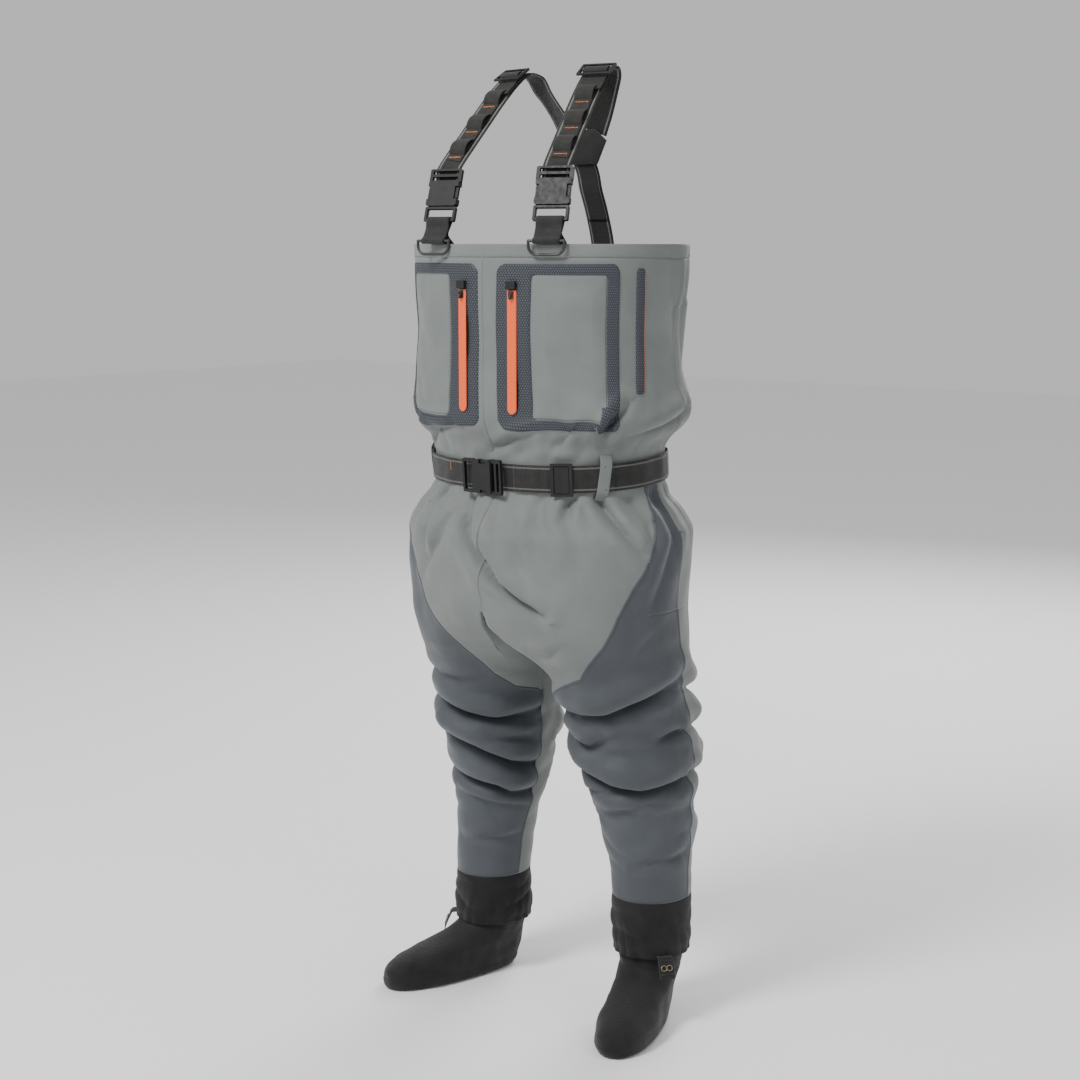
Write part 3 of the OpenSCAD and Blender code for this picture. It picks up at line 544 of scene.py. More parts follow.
def leg_folds(side, p, z, turn):
    """(outward, down) displacement of a leg in millimetres."""
    s = turn * 1.95
    cuff = CUFF_TOP[side]
    knee = np.exp(-((z - 515) / 92) ** 2)
    shin = np.exp(-((z - 350) / 90) ** 2)
    thigh = smoothstep(z, 560, 660)
    warp = sines(p, 150, 21 + side)
    stacked = puff(z / 62 + 0.42 * warp + 0.25 * np.sin(np.radians(turn * 1.0 + 40 * side)), 0.7) - 0.62
    out = 3.6 * knee * stacked + 2.4 * knee * sines(p * (1, 1, 1.7), 60, 31 + side)
    out += shin * (3.0 * (puff(z / 54 + 0.6 * sines(p, 130, 41 + side), 0.8) - 0.6)
                   + 2.0 * sines(p, 100, 43 + side))
    out += thigh * (3.0 * sines(p * (1, 1, 0.45), 130, 51 + side) + 1.2 * sines(p, 70, 53 + side))
    out += 1.2 * sines(p, 120, 61 + side)
    down = 0 * out
    for line, depth, width in LEG_CREASES[side]:
        more, drop = crease(s, z, [(t * 1.95, h) for t, h in line], depth, width)
        out = out + more
        down = down + drop
    inner = smoothstep(np.abs((turn - 90 + 180) % 360 - 180), 128, 165) * smoothstep(z, 470, 600)
    inner = inner * smoothstep(Z_CROTCH - z, 0, 70)
    keep = (1 - 0.85 * inner) * smoothstep(z - cuff, 0, 26)
    near_hips = smoothstep(Z_CROTCH - z, 0, 80)
    hips, hips_down = torso_folds(p, p[..., 2], on_hips(side, wrap(turn)))
    hips = np.where(wrap(turn) > BACK_MIDDLE, 0, hips)
    out = out * near_hips + hips * (1 - near_hips)
    down = down * near_hips + hips_down * (1 - near_hips)
    return out * keep, down * keep


def outward(base, z, turn, flip):
    """The horizontal normal of a surface given by its base function."""
    step = 0.4
    d = base(z, turn + step) - base(z, turn - step)
    n = stack(d[..., 1], -d[..., 0], 0 * d[..., 0]) * flip
    return n / np.maximum(np.linalg.norm(n, axis=-1, keepdims=True), 1e-9)


def torso(z, turn, off=0.0):
    """A point on the finished torso: the CAD section with its folds."""
    z, turn = np.broadcast_arrays(np.asarray(z, float), np.asarray(turn, float))
    p = torso_base(z, turn)
    out, down = torso_folds(p, z, turn)
    n = outward(torso_base, z, turn, 1)
    return p + n * (out + off)[..., None] + stack(0 * down, 0 * down, down)


def leg(side, z, turn, off=0.0):
    z, turn = np.broadcast_arrays(np.asarray(z, float), np.asarray(turn, float))
    base = lambda zz, tt: leg_base(side, zz, tt)
    p = base(z, turn)
    out, down = leg_folds(side, p, z, turn)
    wrapped = wrap(turn)
    hip_n = outward(torso_base, np.full_like(z, Z_CROTCH), on_hips(side, wrapped), 1)
    near = ((1 - smoothstep(Z_CROTCH - z, 0, 60)) * (wrapped <= BACK_MIDDLE))[..., None]
    n = outward(base, z, turn, side) * (1 - near) + hip_n * near
    return p + n * (out + off)[..., None] + stack(0 * down, 0 * down, down)


# ---------------------------------------------------------------- mesh helpers
def link(name, mesh, material, smooth=True):
    obj = bpy.data.objects.new(name, mesh)
    bpy.context.scene.collection.objects.link(obj)
    mesh.materials.append(material)
    if smooth:
        mesh.polygons.foreach_set("use_smooth", [True] * len(mesh.polygons))
    return obj


def mesh_of(name, points, faces, uv=None):
    mesh = bpy.data.meshes.new(name)
    mesh.from_pydata([tuple(p) for p in np.asarray(points).reshape(-1, 3) * MM], [], faces)
    if uv is not None:
        layer = mesh.uv_layers.new(name="UVMap")
        uv = np.asarray(uv).reshape(-1, 2) * MM
        loops = np.zeros(len(mesh.loops), np.int32)
        mesh.loops.foreach_get("vertex_index", loops)
        layer.data.foreach_set("uv", uv[loops].astype(np.float32).ravel())
    mesh.update()
    return mesh


def grid_faces(rows, cols, closed=False, flip=False, start=0):
    faces = []
    for i in range(rows - 1):
        for j in range(cols if closed else cols - 1):
            a, b = start + i * cols + j, start + i * cols + (j + 1) % cols
            c, d = b + cols, a + cols
            faces.append((a, d, c, b) if flip else (a, b, c, d))
    return faces


def attach(obj, slot=None, nodes=(), body=ROOT):
    """The piece rides on a body, and stands for the CAD nodes it replaces."""
    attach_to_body(obj, body)
    if nodes:
        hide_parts(*nodes)
    return obj


def edit_mesh(obj, edit):
    """Runs one bmesh edit on the piece's mesh."""
    bm = bmesh.new()
    bm.from_mesh(obj.data)
    edit(bm)
    bm.to_mesh(obj.data)
    bm.free()


def thicken(obj, thickness, offset=-1.0):
    mod = obj.modifiers.new("thickness", "SOLIDIFY")
    mod.thickness = thickness * MM
    mod.offset = offset
    mod.use_even_offset = False
    return obj


def measure(points):
    """Area in square metres, and the longest row and column in metres, of a grid in millimetres."""
    p = np.asarray(points) * MM
    rows = np.linalg.norm(np.diff(p, axis=1), axis=-1).sum(1).max()
    cols = np.linalg.norm(np.diff(p, axis=0), axis=-1).sum(0).max()
    a, b = p[1:, :-1] - p[:-1, :-1], p[:-1, 1:] - p[:-1, :-1]
    c, d = p[1:, :-1] - p[1:, 1:], p[:-1, 1:] - p[1:, 1:]
    area = (np.linalg.norm(np.cross(a, b), axis=-1).sum()
            + np.linalg.norm(np.cross(c, d), axis=-1).sum()) / 2
    return area, rows, cols


def patch(point, zs, turns, turn_mm, flip=False):
    """A grid of points, its faces and its UV on a surface; turns has a row for each height."""
    zz = np.asarray(zs, float)[:, None] * np.ones(turns.shape[1])
    return (point(zz, turns), grid_faces(len(zs), turns.shape[1], flip=flip),
            np.stack([turns * turn_mm, zz], -1))


def spread(starts, ends, cols):
    f = np.linspace(0, 1, cols)
    return starts[:, None] * (1 - f) + ends[:, None] * f


def cloth_panel(name, patches, flat, material, slot, nodes):
    """One cut panel of shell fabric, made of patches that meet exactly and are welded."""
    points, faces, uv, area = [], [], [], 0
    for p, f, t in patches:
        faces += [tuple(i + len(points) for i in face) for face in f]
        points += list(p.reshape(-1, 3))
        uv += list(t.reshape(-1, 2))
        area += measure(p)[0]
    obj = link(name, mesh_of(name, points, faces, uv), material)
    edit_mesh(obj, lambda bm: bmesh.ops.remove_doubles(bm, verts=bm.verts, dist=0.02 * MM))
    thicken(obj, FABRIC)
    attach(obj, slot, nodes)
    return obj


# ---------------------------------------------------------------- shell panels
TALL = 4.5   # height of a row of faces in millimetres


def rows_between(z0, z1, step=TALL):
    return np.linspace(z0, z1, max(2, int((z1 - z0) / step) + 1))


def full(zs, value):
    return np.full(len(zs), float(value))


TORSO_MM, LEG_MM = 3.9, 1.95   # millimetres round the surface for a degree of turn
THIGH_LOW = 560.5
INNER_COLS, FRONT_COLS, DARK_COLS, BACK_COLS, WALL_COLS = 14, 49, 96, 70, 23   # columns of faces


def make_shell():
    bib = rows_between(Z_WAIST, BIB_TOP - HEM)
    hips = rows_between(Z_CROTCH, Z_WAIST)
    for name, start, end, cols, flat, node in (
            ("bib_front_fabric", -SIDE_TURN, SIDE_TURN, 171, (0.62, 0.38), "bib_front"),
            ("bib_back_fabric", SIDE_TURN, 360 - SIDE_TURN, 151, (0.60, 0.38), "bib_back")):
        cloth_panel(name, [patch(torso, bib, spread(full(bib, start), full(bib, end), cols), TORSO_MM)],
                    flat, LIGHT_SHELL, "shell_light", [node])
    right_half = spread(-hip_turn[RIGHT](hips), full(hips, 0), FRONT_COLS + 1)[:, :-1]
    left_half = spread(full(hips, 0), hip_turn[LEFT](hips), FRONT_COLS + 1)
    front = [patch(torso, hips, np.concatenate([right_half, left_half], 1), TORSO_MM)]
    back = [patch(torso, hips, spread(full(hips, SIDE_TURN), full(hips, 360 - SIDE_TURN),
                                      2 * BACK_COLS + 1), TORSO_MM)]
    for word, side in SIDES.items():
        surface = lambda z, t, s=side: leg(s, z, t)
        flip = side == RIGHT
        zs = rows_between(THIGH_LOW, Z_CROTCH, 4)
        seam = np.maximum(thigh_seam[side](zs), INNER_SEAM + 0.3)
        # the column under the front's middle line stays the same at every height
        split = (FRONT_MIDDLE - INNER_SEAM) / (thigh_seam[side](Z_CROTCH) - INNER_SEAM)
        middle = INNER_SEAM + (seam - INNER_SEAM) * split
        columns = np.concatenate([spread(full(zs, INNER_SEAM), middle, INNER_COLS + 1)[:, :-1],
                                  spread(middle, seam, FRONT_COLS + 1)], 1)
        front.append(patch(surface, zs, columns, LEG_MM, flip))
        zs = rows_between(CUFF_TOP[side], Z_CROTCH, 4)
        dark_leg = patch(surface, zs, spread(thigh_seam[side](zs), full(zs, OUTER_SEAM), DARK_COLS + 1),
                         LEG_MM, flip)
        turns = np.concatenate([np.linspace(OUTER_SEAM, BACK_MIDDLE, BACK_COLS + 1),
                                np.linspace(BACK_MIDDLE, 360 + INNER_SEAM, WALL_COLS)[1:]])
        back.append(patch(surface, zs, np.ones((len(zs), 1)) * turns, LEG_MM, flip))
        side_turns = spread(hip_turn[side](hips), full(hips, SIDE_TURN), DARK_COLS + 1)
        dark_hip = patch(torso, hips, side * side_turns, TORSO_MM, flip)
        cloth_panel(f"leg_dark_{word}_fabric", [dark_hip, dark_leg], (0.46, 0.80), DARK_SHELL, "shell_dark",
                    [f"hip_side_{word}", f"leg_front_{word}"])
    cloth_panel("front_light_fabric", front, (0.80, 0.42), LIGHT_SHELL, "shell_light",
                ["hip_front", "thigh_inner_right", "thigh_inner_left"])
    cloth_panel("back_light_fabric", back, (0.92, 0.80), LIGHT_SHELL, "shell_light",
                ["hip_back", "leg_back_right", "leg_back_left"])


def ring_band(name, point, z0, z1, rows, material, slot, nodes, offset=0.6, thickness=2.4):
    """A closed band round the torso, such as the folded hem."""
    turns = np.linspace(0, 360, 241)[:-1]
    zs = np.linspace(z0, z1, rows)
    zz = zs[:, None] * np.ones(len(turns))
    tt = np.ones(rows)[:, None] * turns
    f = np.linspace(0, 1, rows)[:, None]
    off = offset * np.sin(math.pi * np.clip(f * 0.92 + 0.04, 0, 1)) ** 0.5
    points = point(zz, tt, off + 0 * tt)
    obj = link(name, mesh_of(name, points, grid_faces(rows, len(turns), True),
                             np.stack([tt * 3.9, zz], -1)), material)
    thicken(obj, thickness)
    attach(obj, slot, nodes)
    return obj


def ribbon_on(name, points, normals, width, height, material, slot=None, body=ROOT, bulge=True):
    """A low ribbon lying on a surface along points, in millimetres."""
    p, n = np.asarray(points, float), np.asarray(normals, float)
    t = np.gradient(p, axis=0)
    t /= np.linalg.norm(t, axis=1, keepdims=True)
    side = np.cross(t, n)
    side /= np.linalg.norm(side, axis=1, keepdims=True)
    across = np.array([-0.5, -0.32, 0, 0.32, 0.5])
    lift = np.array([-0.35, 0.75, 1.0, 0.75, -0.35]) if bulge else np.array([0, 1.0, 1.0, 1.0, 0])
    rows = [p + side * (a * width) + n * (h * height) for a, h in zip(across, lift)]
    grid = np.stack(rows, 0)
    length = np.concatenate([[0], np.cumsum(np.linalg.norm(np.diff(p, axis=0), axis=1))])
    uv = np.stack([np.repeat(across[:, None] * width + width / 2, len(p), 1),
                   np.repeat(length[None], 5, 0)], -1)
    obj = link(name, mesh_of(name, grid, grid_faces(5, len(p)), uv), material)
    attach(obj, slot, body=body)
    return obj


def normals_along(point, zs, turns):
    """Surface normals found from small steps in height and turn."""
    dz = point(zs + 1.5, turns) - point(zs - 1.5, turns)
    dt = point(zs, turns + 0.5) - point(zs, turns - 0.5)
    n = np.cross(dt, dz)
    n /= np.maximum(np.linalg.norm(n, axis=-1, keepdims=True), 1e-9)
    return n


def stitch_row(name, points, normals, material, pitch=4.2, length=2.7, width=0.7, body=ROOT):
    """Separate raised stitches along a line."""
    p, n = np.asarray(points, float), np.asarray(normals, float)
    s = np.concatenate([[0], np.cumsum(np.linalg.norm(np.diff(p, axis=0), axis=1))])
    at = np.arange(pitch / 2, s[-1] - pitch / 2, pitch)
    centre = np.stack([np.interp(at, s, p[:, k]) for k in range(3)], 1)
    ahead = np.stack([np.interp(at + 0.5, s, p[:, k]) for k in range(3)], 1) - centre
    ahead /= np.linalg.norm(ahead, axis=1, keepdims=True)
    up = np.stack([np.interp(at, s, n[:, k]) for k in range(3)], 1)
    side = np.cross(ahead, up)
    verts, faces = [], []
    for c, t, u, w in zip(centre, ahead, up, side):
        b = len(verts)
        for l, r, h in ((-0.5, 0, 0.0), (-0.3, -0.5, 0.25), (-0.3, 0.5, 0.25), (-0.3, 0, 0.6),
                        (0.3, -0.5, 0.25), (0.3, 0.5, 0.25), (0.3, 0, 0.6), (0.5, 0, 0.0)):
            verts.append(c + t * l * length + w * r * width + u * h * width)
        faces += [(b, b + 3, b + 1), (b, b + 2, b + 3), (b + 1, b + 3, b + 6, b + 4),
                  (b + 3, b + 2, b + 5, b + 6), (b + 4, b + 6, b + 7), (b + 6, b + 5, b + 7)]
    obj = link(name, mesh_of(name, verts, faces), material)
    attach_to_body(obj, body)
    return obj



# ---------------------------------------------------------------- chest pockets, zips and seams
POCKET = dict(turn=(3, 57), z=(1048, 1318))
WINDOW = dict(turn=(17, 51), z=(1064, 1301))
ZIP_X, ZIP_TOP, ZIP_LEN, ZIP_W = 53.0, 1276.0, 204.0, 18.0
ZIP_Y, ZIP_ANGLE = -168.6, 6.0


def rounded_rect(turns, heights, radius, count=56):
    """Points of a rounded rectangle in (turn, height), the same number on each side."""
    (t0, t1), (z0, z1) = turns, heights
    rt = radius / TRIM_MM
    pts = []
    for (ct, cz, start) in ((t1 - rt, z0 + radius, -90), (t1 - rt, z1 - radius, 0),
                            (t0 + rt, z1 - radius, 90), (t0 + rt, z0 + radius, 180)):
        for a in np.linspace(start, start + 90, 13):
            pts.append((ct + rt * math.cos(math.radians(a)), cz + radius * math.sin(math.radians(a))))
    pts = np.array(pts + pts[:1])
    out = []
    corner = 13
    for k in range(4):
        arc = pts[k * corner:(k + 1) * corner]
        nxt = pts[((k + 1) * corner) % 52]
        out += list(arc)
        f = np.linspace(0, 1, count + 2)[1:-1, None]
        out += list(arc[-1] * (1 - f) + nxt * f)
    return np.array(out)


TRIM_MM = 4.3                        # millimetres for a degree of turn on the trim
STRIP = dict(turn=(66.2, 71.2), z=(1108, 1311))
BIB_HALF_W, TURN_BACK = 256, 0.27    # the bib's usual half width, and degrees back for each mm drawn in


def on_torso(side, turns, zs, off):
    """A point of the trim; it keeps a straight edge where the bib is drawn in at mid height."""
    drawn_in = BIB_HALF_W - smooth_table(torso_a, zs)
    return torso(zs, side * (turns + TURN_BACK * drawn_in * np.clip(turns / 69, 0, 1.1) ** 2), off)


def pocket_frame(word, side):
    """Bonded mesh tape round the pocket's window, wide where the zip lies."""
    outer = rounded_rect(POCKET["turn"], POCKET["z"], 16)
    inner = rounded_rect(WINDOW["turn"], WINDOW["z"], 9)
    fs = np.array([0, 0.02, 0.12, 0.35, 0.65, 0.88, 0.98, 1.0])
    lift = np.array([-0.4, 1.0, 1.3, 1.3, 1.3, 1.3, 1.0, -0.4])
    tz = outer[None] * (1 - fs[:, None, None]) + inner[None] * fs[:, None, None]
    points = on_torso(side, tz[..., 0], tz[..., 1], 0.4 + lift[:, None] + 0 * tz[..., 0])
    uv = np.stack([tz[..., 0] * TRIM_MM, tz[..., 1]], -1)
    name = f"pocket_mesh_tape_{word}"
    rows, cols = len(fs), len(outer)
    obj = link(name, mesh_of(name, points, grid_faces(rows, cols, True, flip=side == RIGHT), uv), TAPE)
    attach(obj, "mesh_tape", [f"pocket_tape_{word}"])
    # the panel inside the tape, standing a little proud as a pocket that holds air
    t = np.linspace(WINDOW["turn"][0] + 0.4, WINDOW["turn"][1] - 0.4, 61)
    z = np.linspace(WINDOW["z"][0] + 2, WINDOW["z"][1] - 2, 81)
    tt, zz = np.meshgrid(t, z)
    ft, fz = (tt - t[0]) / (t[-1] - t[0]), (zz - z[0]) / (z[-1] - z[0])
    edge = np.minimum(np.minimum(ft, 1 - ft) * 5, np.minimum(fz, 1 - fz) * 7).clip(0, 1)
    p0 = torso_base(zz, side * tt)
    air = 0.5 + 3.0 * edge ** 0.7 + 1.3 * edge * sines(p0, 95, 71 + side) + 0.8 * edge * sines(p0, 45, 73)
    points = on_torso(side, tt, zz, air)
    name = f"pocket_fabric_{word}"
    obj = link(name, mesh_of(name, points, grid_faces(len(z), len(t), flip=side == RIGHT),
                             np.stack([tt * TRIM_MM, zz], -1)), LIGHT_SHELL)
    thicken(obj, 0.6)
    attach(obj, "shell_light", [f"pocket_panel_{word}"])
    corner = rounded_rect((POCKET["turn"][1] - 9.5, POCKET["turn"][1] - 1.4), (1052, 1090), 5, 12)
    ribbed_block(f"pocket_corner_{word}", side, corner)


def ribbed_block(name, side, outline):
    """A small ribbed patch bonded to the pocket's lower outer corner."""
    t0, z0 = outline.min(0)
    t1, z1 = outline.max(0)
    t, z = np.linspace(t0, t1, 31), np.linspace(z0, z1, 61)
    tt, zz = np.meshgrid(t, z)
    edge = np.minimum(np.minimum(tt - t0, t1 - tt) * 4.3, np.minimum(zz - z0, z1 - zz)).clip(0, 3) / 3
    ribs = 0.5 + 0.5 * np.sin((zz - z0) * 2 * math.pi / 4.2)
    points = on_torso(side, tt, zz, 1.0 + edge * (1.6 + 0.9 * ribs))
    obj = link(name, mesh_of(name, points, grid_faces(len(z), len(t), flip=side == RIGHT),
                             np.stack([tt * TRIM_MM, zz], -1)), TAPE)
    attach(obj, "mesh_tape")


def zip_frame(side):
    """Matrix from the zip's own millimetres to the CAD frame."""
    a = math.radians(side * ZIP_ANGLE)
    turn = np.array([[math.cos(a), -math.sin(a), 0], [math.sin(a), math.cos(a), 0], [0, 0, 1]])
    return turn, np.array([side * ZIP_X, ZIP_Y, ZIP_TOP])


def placed(points, side):
    turn, origin = zip_frame(side)
    return np.asarray(points, float) @ turn.T + origin


def chest_zip(word, side):
    """A coated coil zip: a crowned orange tape with a groove down the middle, and its black rim."""
    for name, width, low, high, mat, slot in (
            (f"chest_zip_{word}", ZIP_W, 0.2, 1.5, ORANGE, "zip_orange"),
            (f"chest_zip_rim_{word}", ZIP_W + 3.4, -3.4, 0.5, BLACK_PLASTIC, "black_plastic")):
        r = width / 2
        bottom = -ZIP_LEN + ZIP_W / 2
        zs = np.concatenate([bottom - r * np.cos(np.linspace(0, math.pi / 2, 14)),
                             np.arange(bottom + 2, 0, 2.0)])
        fs = np.concatenate([[-1, -0.985, -0.93], np.linspace(-0.85, 0.85, 21), [0.93, 0.985, 1]])
        half = np.where(zs < bottom, np.sqrt(np.clip(r * r - (bottom - zs) ** 2, 0.02, None)), r)
        xx, zz = half[:, None] * fs, zs[:, None] * np.ones(len(fs))
        crown = (1 - np.abs(fs) ** 8) * high
        groove = 0.75 * np.exp(-(xx / 0.55) ** 2) if "rim" not in name else 0
        shoulder = 0.35 * np.exp(-((np.abs(xx) - 6.2) / 0.5) ** 2) if "rim" not in name else 0
        y = -(low + crown[None] - groove - shoulder)
        points = placed(stack(xx, y + 0.9, zz), side)
        obj = link(name, mesh_of(name, points, grid_faces(len(zs), len(fs)), np.stack([xx, zz], -1)), mat)
        attach(obj, slot)
        if "rim" not in name:
            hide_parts(f"zip_tape_{word}")


def side_pockets():
    """The handwarmer openings: a strip of mesh tape with the orange zip's edge behind it."""
    for side in (RIGHT, LEFT):
        word = "right" if side == RIGHT else "left"
        outline = rounded_rect(STRIP["turn"], STRIP["z"], 6, 40)
        middle = np.array([[68.7, z] for z in np.clip(outline[:, 1], 1116, 1303)])
        fs = np.array([0, 0.06, 0.4, 0.75, 1.0])
        lift = np.array([-0.3, 1.2, 1.9, 2.2, 2.2])
        tz = outline[None] * (1 - fs[:, None, None]) + middle[None] * fs[:, None, None]
        points = on_torso(side, tz[..., 0], tz[..., 1], 0.5 + lift[:, None] + 0 * tz[..., 0])
        name = f"side_pocket_tape_{word}"
        obj = link(name, mesh_of(name, points, grid_faces(len(fs), len(outline), True, flip=side == RIGHT),
                                 np.stack([tz[..., 0] * TRIM_MM, tz[..., 1]], -1)), TAPE)
        attach(obj, "mesh_tape")
        zs = np.linspace(1116, 1303, 60)
        line = on_torso(side, full(zs, STRIP["turn"][1]), zs, 0.3)
        normals = outward(torso_base, zs, full(zs, side * STRIP["turn"][1]), 1)
        zipper = ribbon_on(f"side_zip_{word}", line, normals, 1.8, 0.6, ORANGE, "zip_orange")
        if side == RIGHT:
            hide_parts("side_pocket_tape")
            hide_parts("side_zip_tape")


def seam_on(name, point, zs, turns, flip, width=5.0, height=0.9, material=None, stitches=True, thread=None):
    """A felled seam: a low ridge along a line of the shell, with a row of stitches along one side."""
    zs, turns = np.asarray(zs, float), np.asarray(turns, float)
    p = point(zs, turns)
    n = normals_along(point, zs, turns) * flip
    ribbon_on(name, p, n, width, height, material or LIGHT_SHELL, "shell_light")
    if stitches:
        t = np.gradient(p, axis=0)
        t /= np.linalg.norm(t, axis=1, keepdims=True)
        side = np.cross(t, n)
        stitch_row(name + "_stitches", p + side * (width * 0.30) + n * 0.55 * height, n,
                   thread or GREY_THREAD)


def make_seams():
    zs = np.linspace(Z_CROTCH + 4, 948, 90)
    seam_on("fly_seam", torso, zs, full(zs, 0), 1)
    zs = np.linspace(1000, BIB_TOP - 1, 130)
    seam_on("bib_placket_seam", torso, zs, full(zs, -1.6), 1, width=4)
    for word, side in SIDES.items():
        surface = lambda z, t, s=side: leg(s, z, t)
        zs = np.linspace(Z_CROTCH, Z_WAIST - 26, 90)
        seam_on(f"hip_seam_{word}", torso, zs, side * hip_turn[side](zs), 1, material=DARK_SHELL,
                thread=DARK_THREAD)
        zs = np.linspace(582 if side == LEFT else 562, Z_CROTCH, 80)
        seam_on(f"thigh_seam_{word}", surface, zs, thigh_seam[side](zs), side, material=DARK_SHELL,
                thread=DARK_THREAD)
        zs = np.linspace(CUFF_TOP[side] + 2, Z_CROTCH, 220)
        seam_on(f"outer_leg_seam_{word}", surface, zs, full(zs, OUTER_SEAM), side, material=DARK_SHELL,
                thread=DARK_THREAD)
        zs = np.linspace(CUFF_TOP[side] + 2, THIGH_LOW, 150)
        seam_on(f"inner_leg_seam_{word}", surface, zs, full(zs, INNER_SEAM), side, material=DARK_SHELL,
                thread=DARK_THREAD)
        zs = np.linspace(Z_CROTCH, Z_WAIST - 30, 80)
        seam_on(f"side_hip_seam_{word}", torso, zs, full(zs, side * SIDE_TURN), 1, stitches=False)
        zs = np.linspace(1004, BIB_TOP - HEM, 120)
        seam_on(f"side_bib_seam_{word}", torso, zs, full(zs, side * SIDE_TURN), 1)
    turns = np.linspace(0, 360, 361)
    zs = full(turns, BIB_TOP - HEM + 2.5)
    stitch_row("hem_stitches", torso(zs, turns, 1.1), outward(torso_base, zs, turns, 1), GREY_THREAD)


# ---------------------------------------------------------------- webbing
def smooth_path(points, count):
    """A Catmull-Rom curve through points, at even steps."""
    p = np.asarray(points, float)
    q = np.vstack([2 * p[0] - p[1], p, 2 * p[-1] - p[-2]])
    out = []
    for i in range(1, len(q) - 2):
        for t in np.linspace(0, 1, 24, endpoint=False):
            a, b, c, d = q[i - 1:i + 3]
            out.append(0.5 * (2 * b + (c - a) * t + (2 * a - 5 * b + 4 * c - d) * t * t
                              + (3 * b - a - 3 * c + d) * t ** 3))
    out.append(p[-1])
    out = np.array(out)
    s = np.concatenate([[0], np.cumsum(np.linalg.norm(np.diff(out, axis=0), axis=1))])
    at = np.linspace(0, s[-1], count)
    return np.stack([np.interp(at, s, out[:, k]) for k in range(3)], 1)


def band(name, points, sides, width, thick, material, slot="webbing", body=ROOT, closed=False, nodes=(),
         taper=None):
    """Flat webbing with rounded selvedges along points; sides give the direction of its width."""
    p = np.asarray(points, float)
    t = np.gradient(p, axis=0)
    if closed:
        t = np.roll(p, -1, 0) - np.roll(p, 1, 0)
    t /= np.linalg.norm(t, axis=1, keepdims=True)
    w = np.asarray(sides, float) * np.ones_like(p)
    w -= (w * t).sum(1, keepdims=True) * t
    w /= np.linalg.norm(w, axis=1, keepdims=True)
    n = np.cross(w, t)
    across = np.array([-0.5, -0.47, -0.42, -0.30, -0.15, 0, 0.15, 0.30, 0.42, 0.47, 0.5])
    lift = np.array([0.0, 0.38, 0.52, 0.46, 0.46, 0.46, 0.46, 0.46, 0.52, 0.38, 0.0])
    loop = list(zip(across, lift)) + [(a, -h) for a, h in zip(across[-2:0:-1], lift[-2:0:-1])]
    scale = np.ones(len(p)) if taper is None else taper
    grid = np.stack([p + w * (a * width * scale)[:, None] + n * (h * thick) for a, h in loop], 1)
    s = np.concatenate([[0], np.cumsum(np.linalg.norm(np.diff(p, axis=0), axis=1))])
    u = np.array([(a + 0.5) * width for a, _ in loop])
    uv = np.stack([np.ones((len(p), 1)) * u, s[:, None] * np.ones(len(u))], -1)
    rows, cols = len(p), len(loop)
    faces = []
    for i in range(rows if closed else rows - 1):
        for j in range(cols):
            k, m = (i + 1) % rows, (j + 1) % cols
            faces.append((i * cols + j, i * cols + m, k * cols + m, k * cols + j))
    if not closed:
        faces.append(tuple(range(cols - 1, -1, -1)))
        faces.append(tuple((rows - 1) * cols + j for j in range(cols)))
    obj = link(name, mesh_of(name, grid, faces, uv), material)
    attach(obj, slot, nodes, body)
    return obj


STRAP_X, STRAP_TOP, STRAP_W, STRAP_T, LEAN = 118.0, 1642.0, 50.0, 2.4, math.radians(17)
YAW = {RIGHT: math.radians(6), LEFT: math.radians(17)}
RING_Y = {RIGHT: -166.0, LEFT: -160.0}
RING_Z, BUCKLE_UP, TAB_BACK, BODY_H = BIB_TOP + 5, 60.0, 9.0, 44.0


def ring_point(side, x, y, z):
    c, s = math.cos(YAW[side]), math.sin(YAW[side])
    return np.array([side * STRAP_X + x * c - y * s, RING_Y[side] + x * s + y * c, RING_Z + z])


def tab_point(side, x, y, z):
    """A point in the leaning frame whose z runs up the webbing from the bib's edge."""
    return ring_point(side, x, TAB_BACK + y * math.cos(LEAN) + z * math.sin(LEAN),
                      -y * math.sin(LEAN) + z * math.cos(LEAN))


def buckle_point(side, y, z):
    return tab_point(side, 0, y, BUCKLE_UP + z)


def yaw_dir(side):
    return np.array([math.cos(YAW[side]), math.sin(YAW[side]), 0])


GLIDE_AT, GLIDE_SLOPE, GLIDE_YAW = (90.5, 13.0, STRAP_TOP - 6), math.radians(33), math.radians(10)


def glide_dir(side):
    return np.array([math.cos(GLIDE_YAW), side * math.sin(GLIDE_YAW), 0])


def glide_point(side, y, z):
    """A point over the tri-glide's middle line; y runs up its slope and z out of its face."""
    back = y * math.cos(GLIDE_SLOPE) - z * math.sin(GLIDE_SLOPE)
    rise = y * math.sin(GLIDE_SLOPE) + z * math.cos(GLIDE_SLOPE)
    return np.array([side * GLIDE_AT[0] - side * back * math.sin(GLIDE_YAW),
                     GLIDE_AT[1] + back * math.cos(GLIDE_YAW), GLIDE_AT[2] + rise])


SHOULDER = (85.0, 42.0)
RISE = ((0.18, 0.22), (0.36, 0.43), (0.54, 0.64), (0.72, 0.83), (0.88, 0.96))


def brace_front(side):
    low = buckle_point(side, 5.2, BODY_H + 26)
    high = np.array([side * SHOULDER[0], SHOULDER[1], STRAP_TOP])
    return [np.array([low[0] + (high[0] - low[0]) * a, low[1] + (high[1] - low[1]) * a,
                      low[2] + (high[2] - low[2]) * b]) for a, b in RISE]


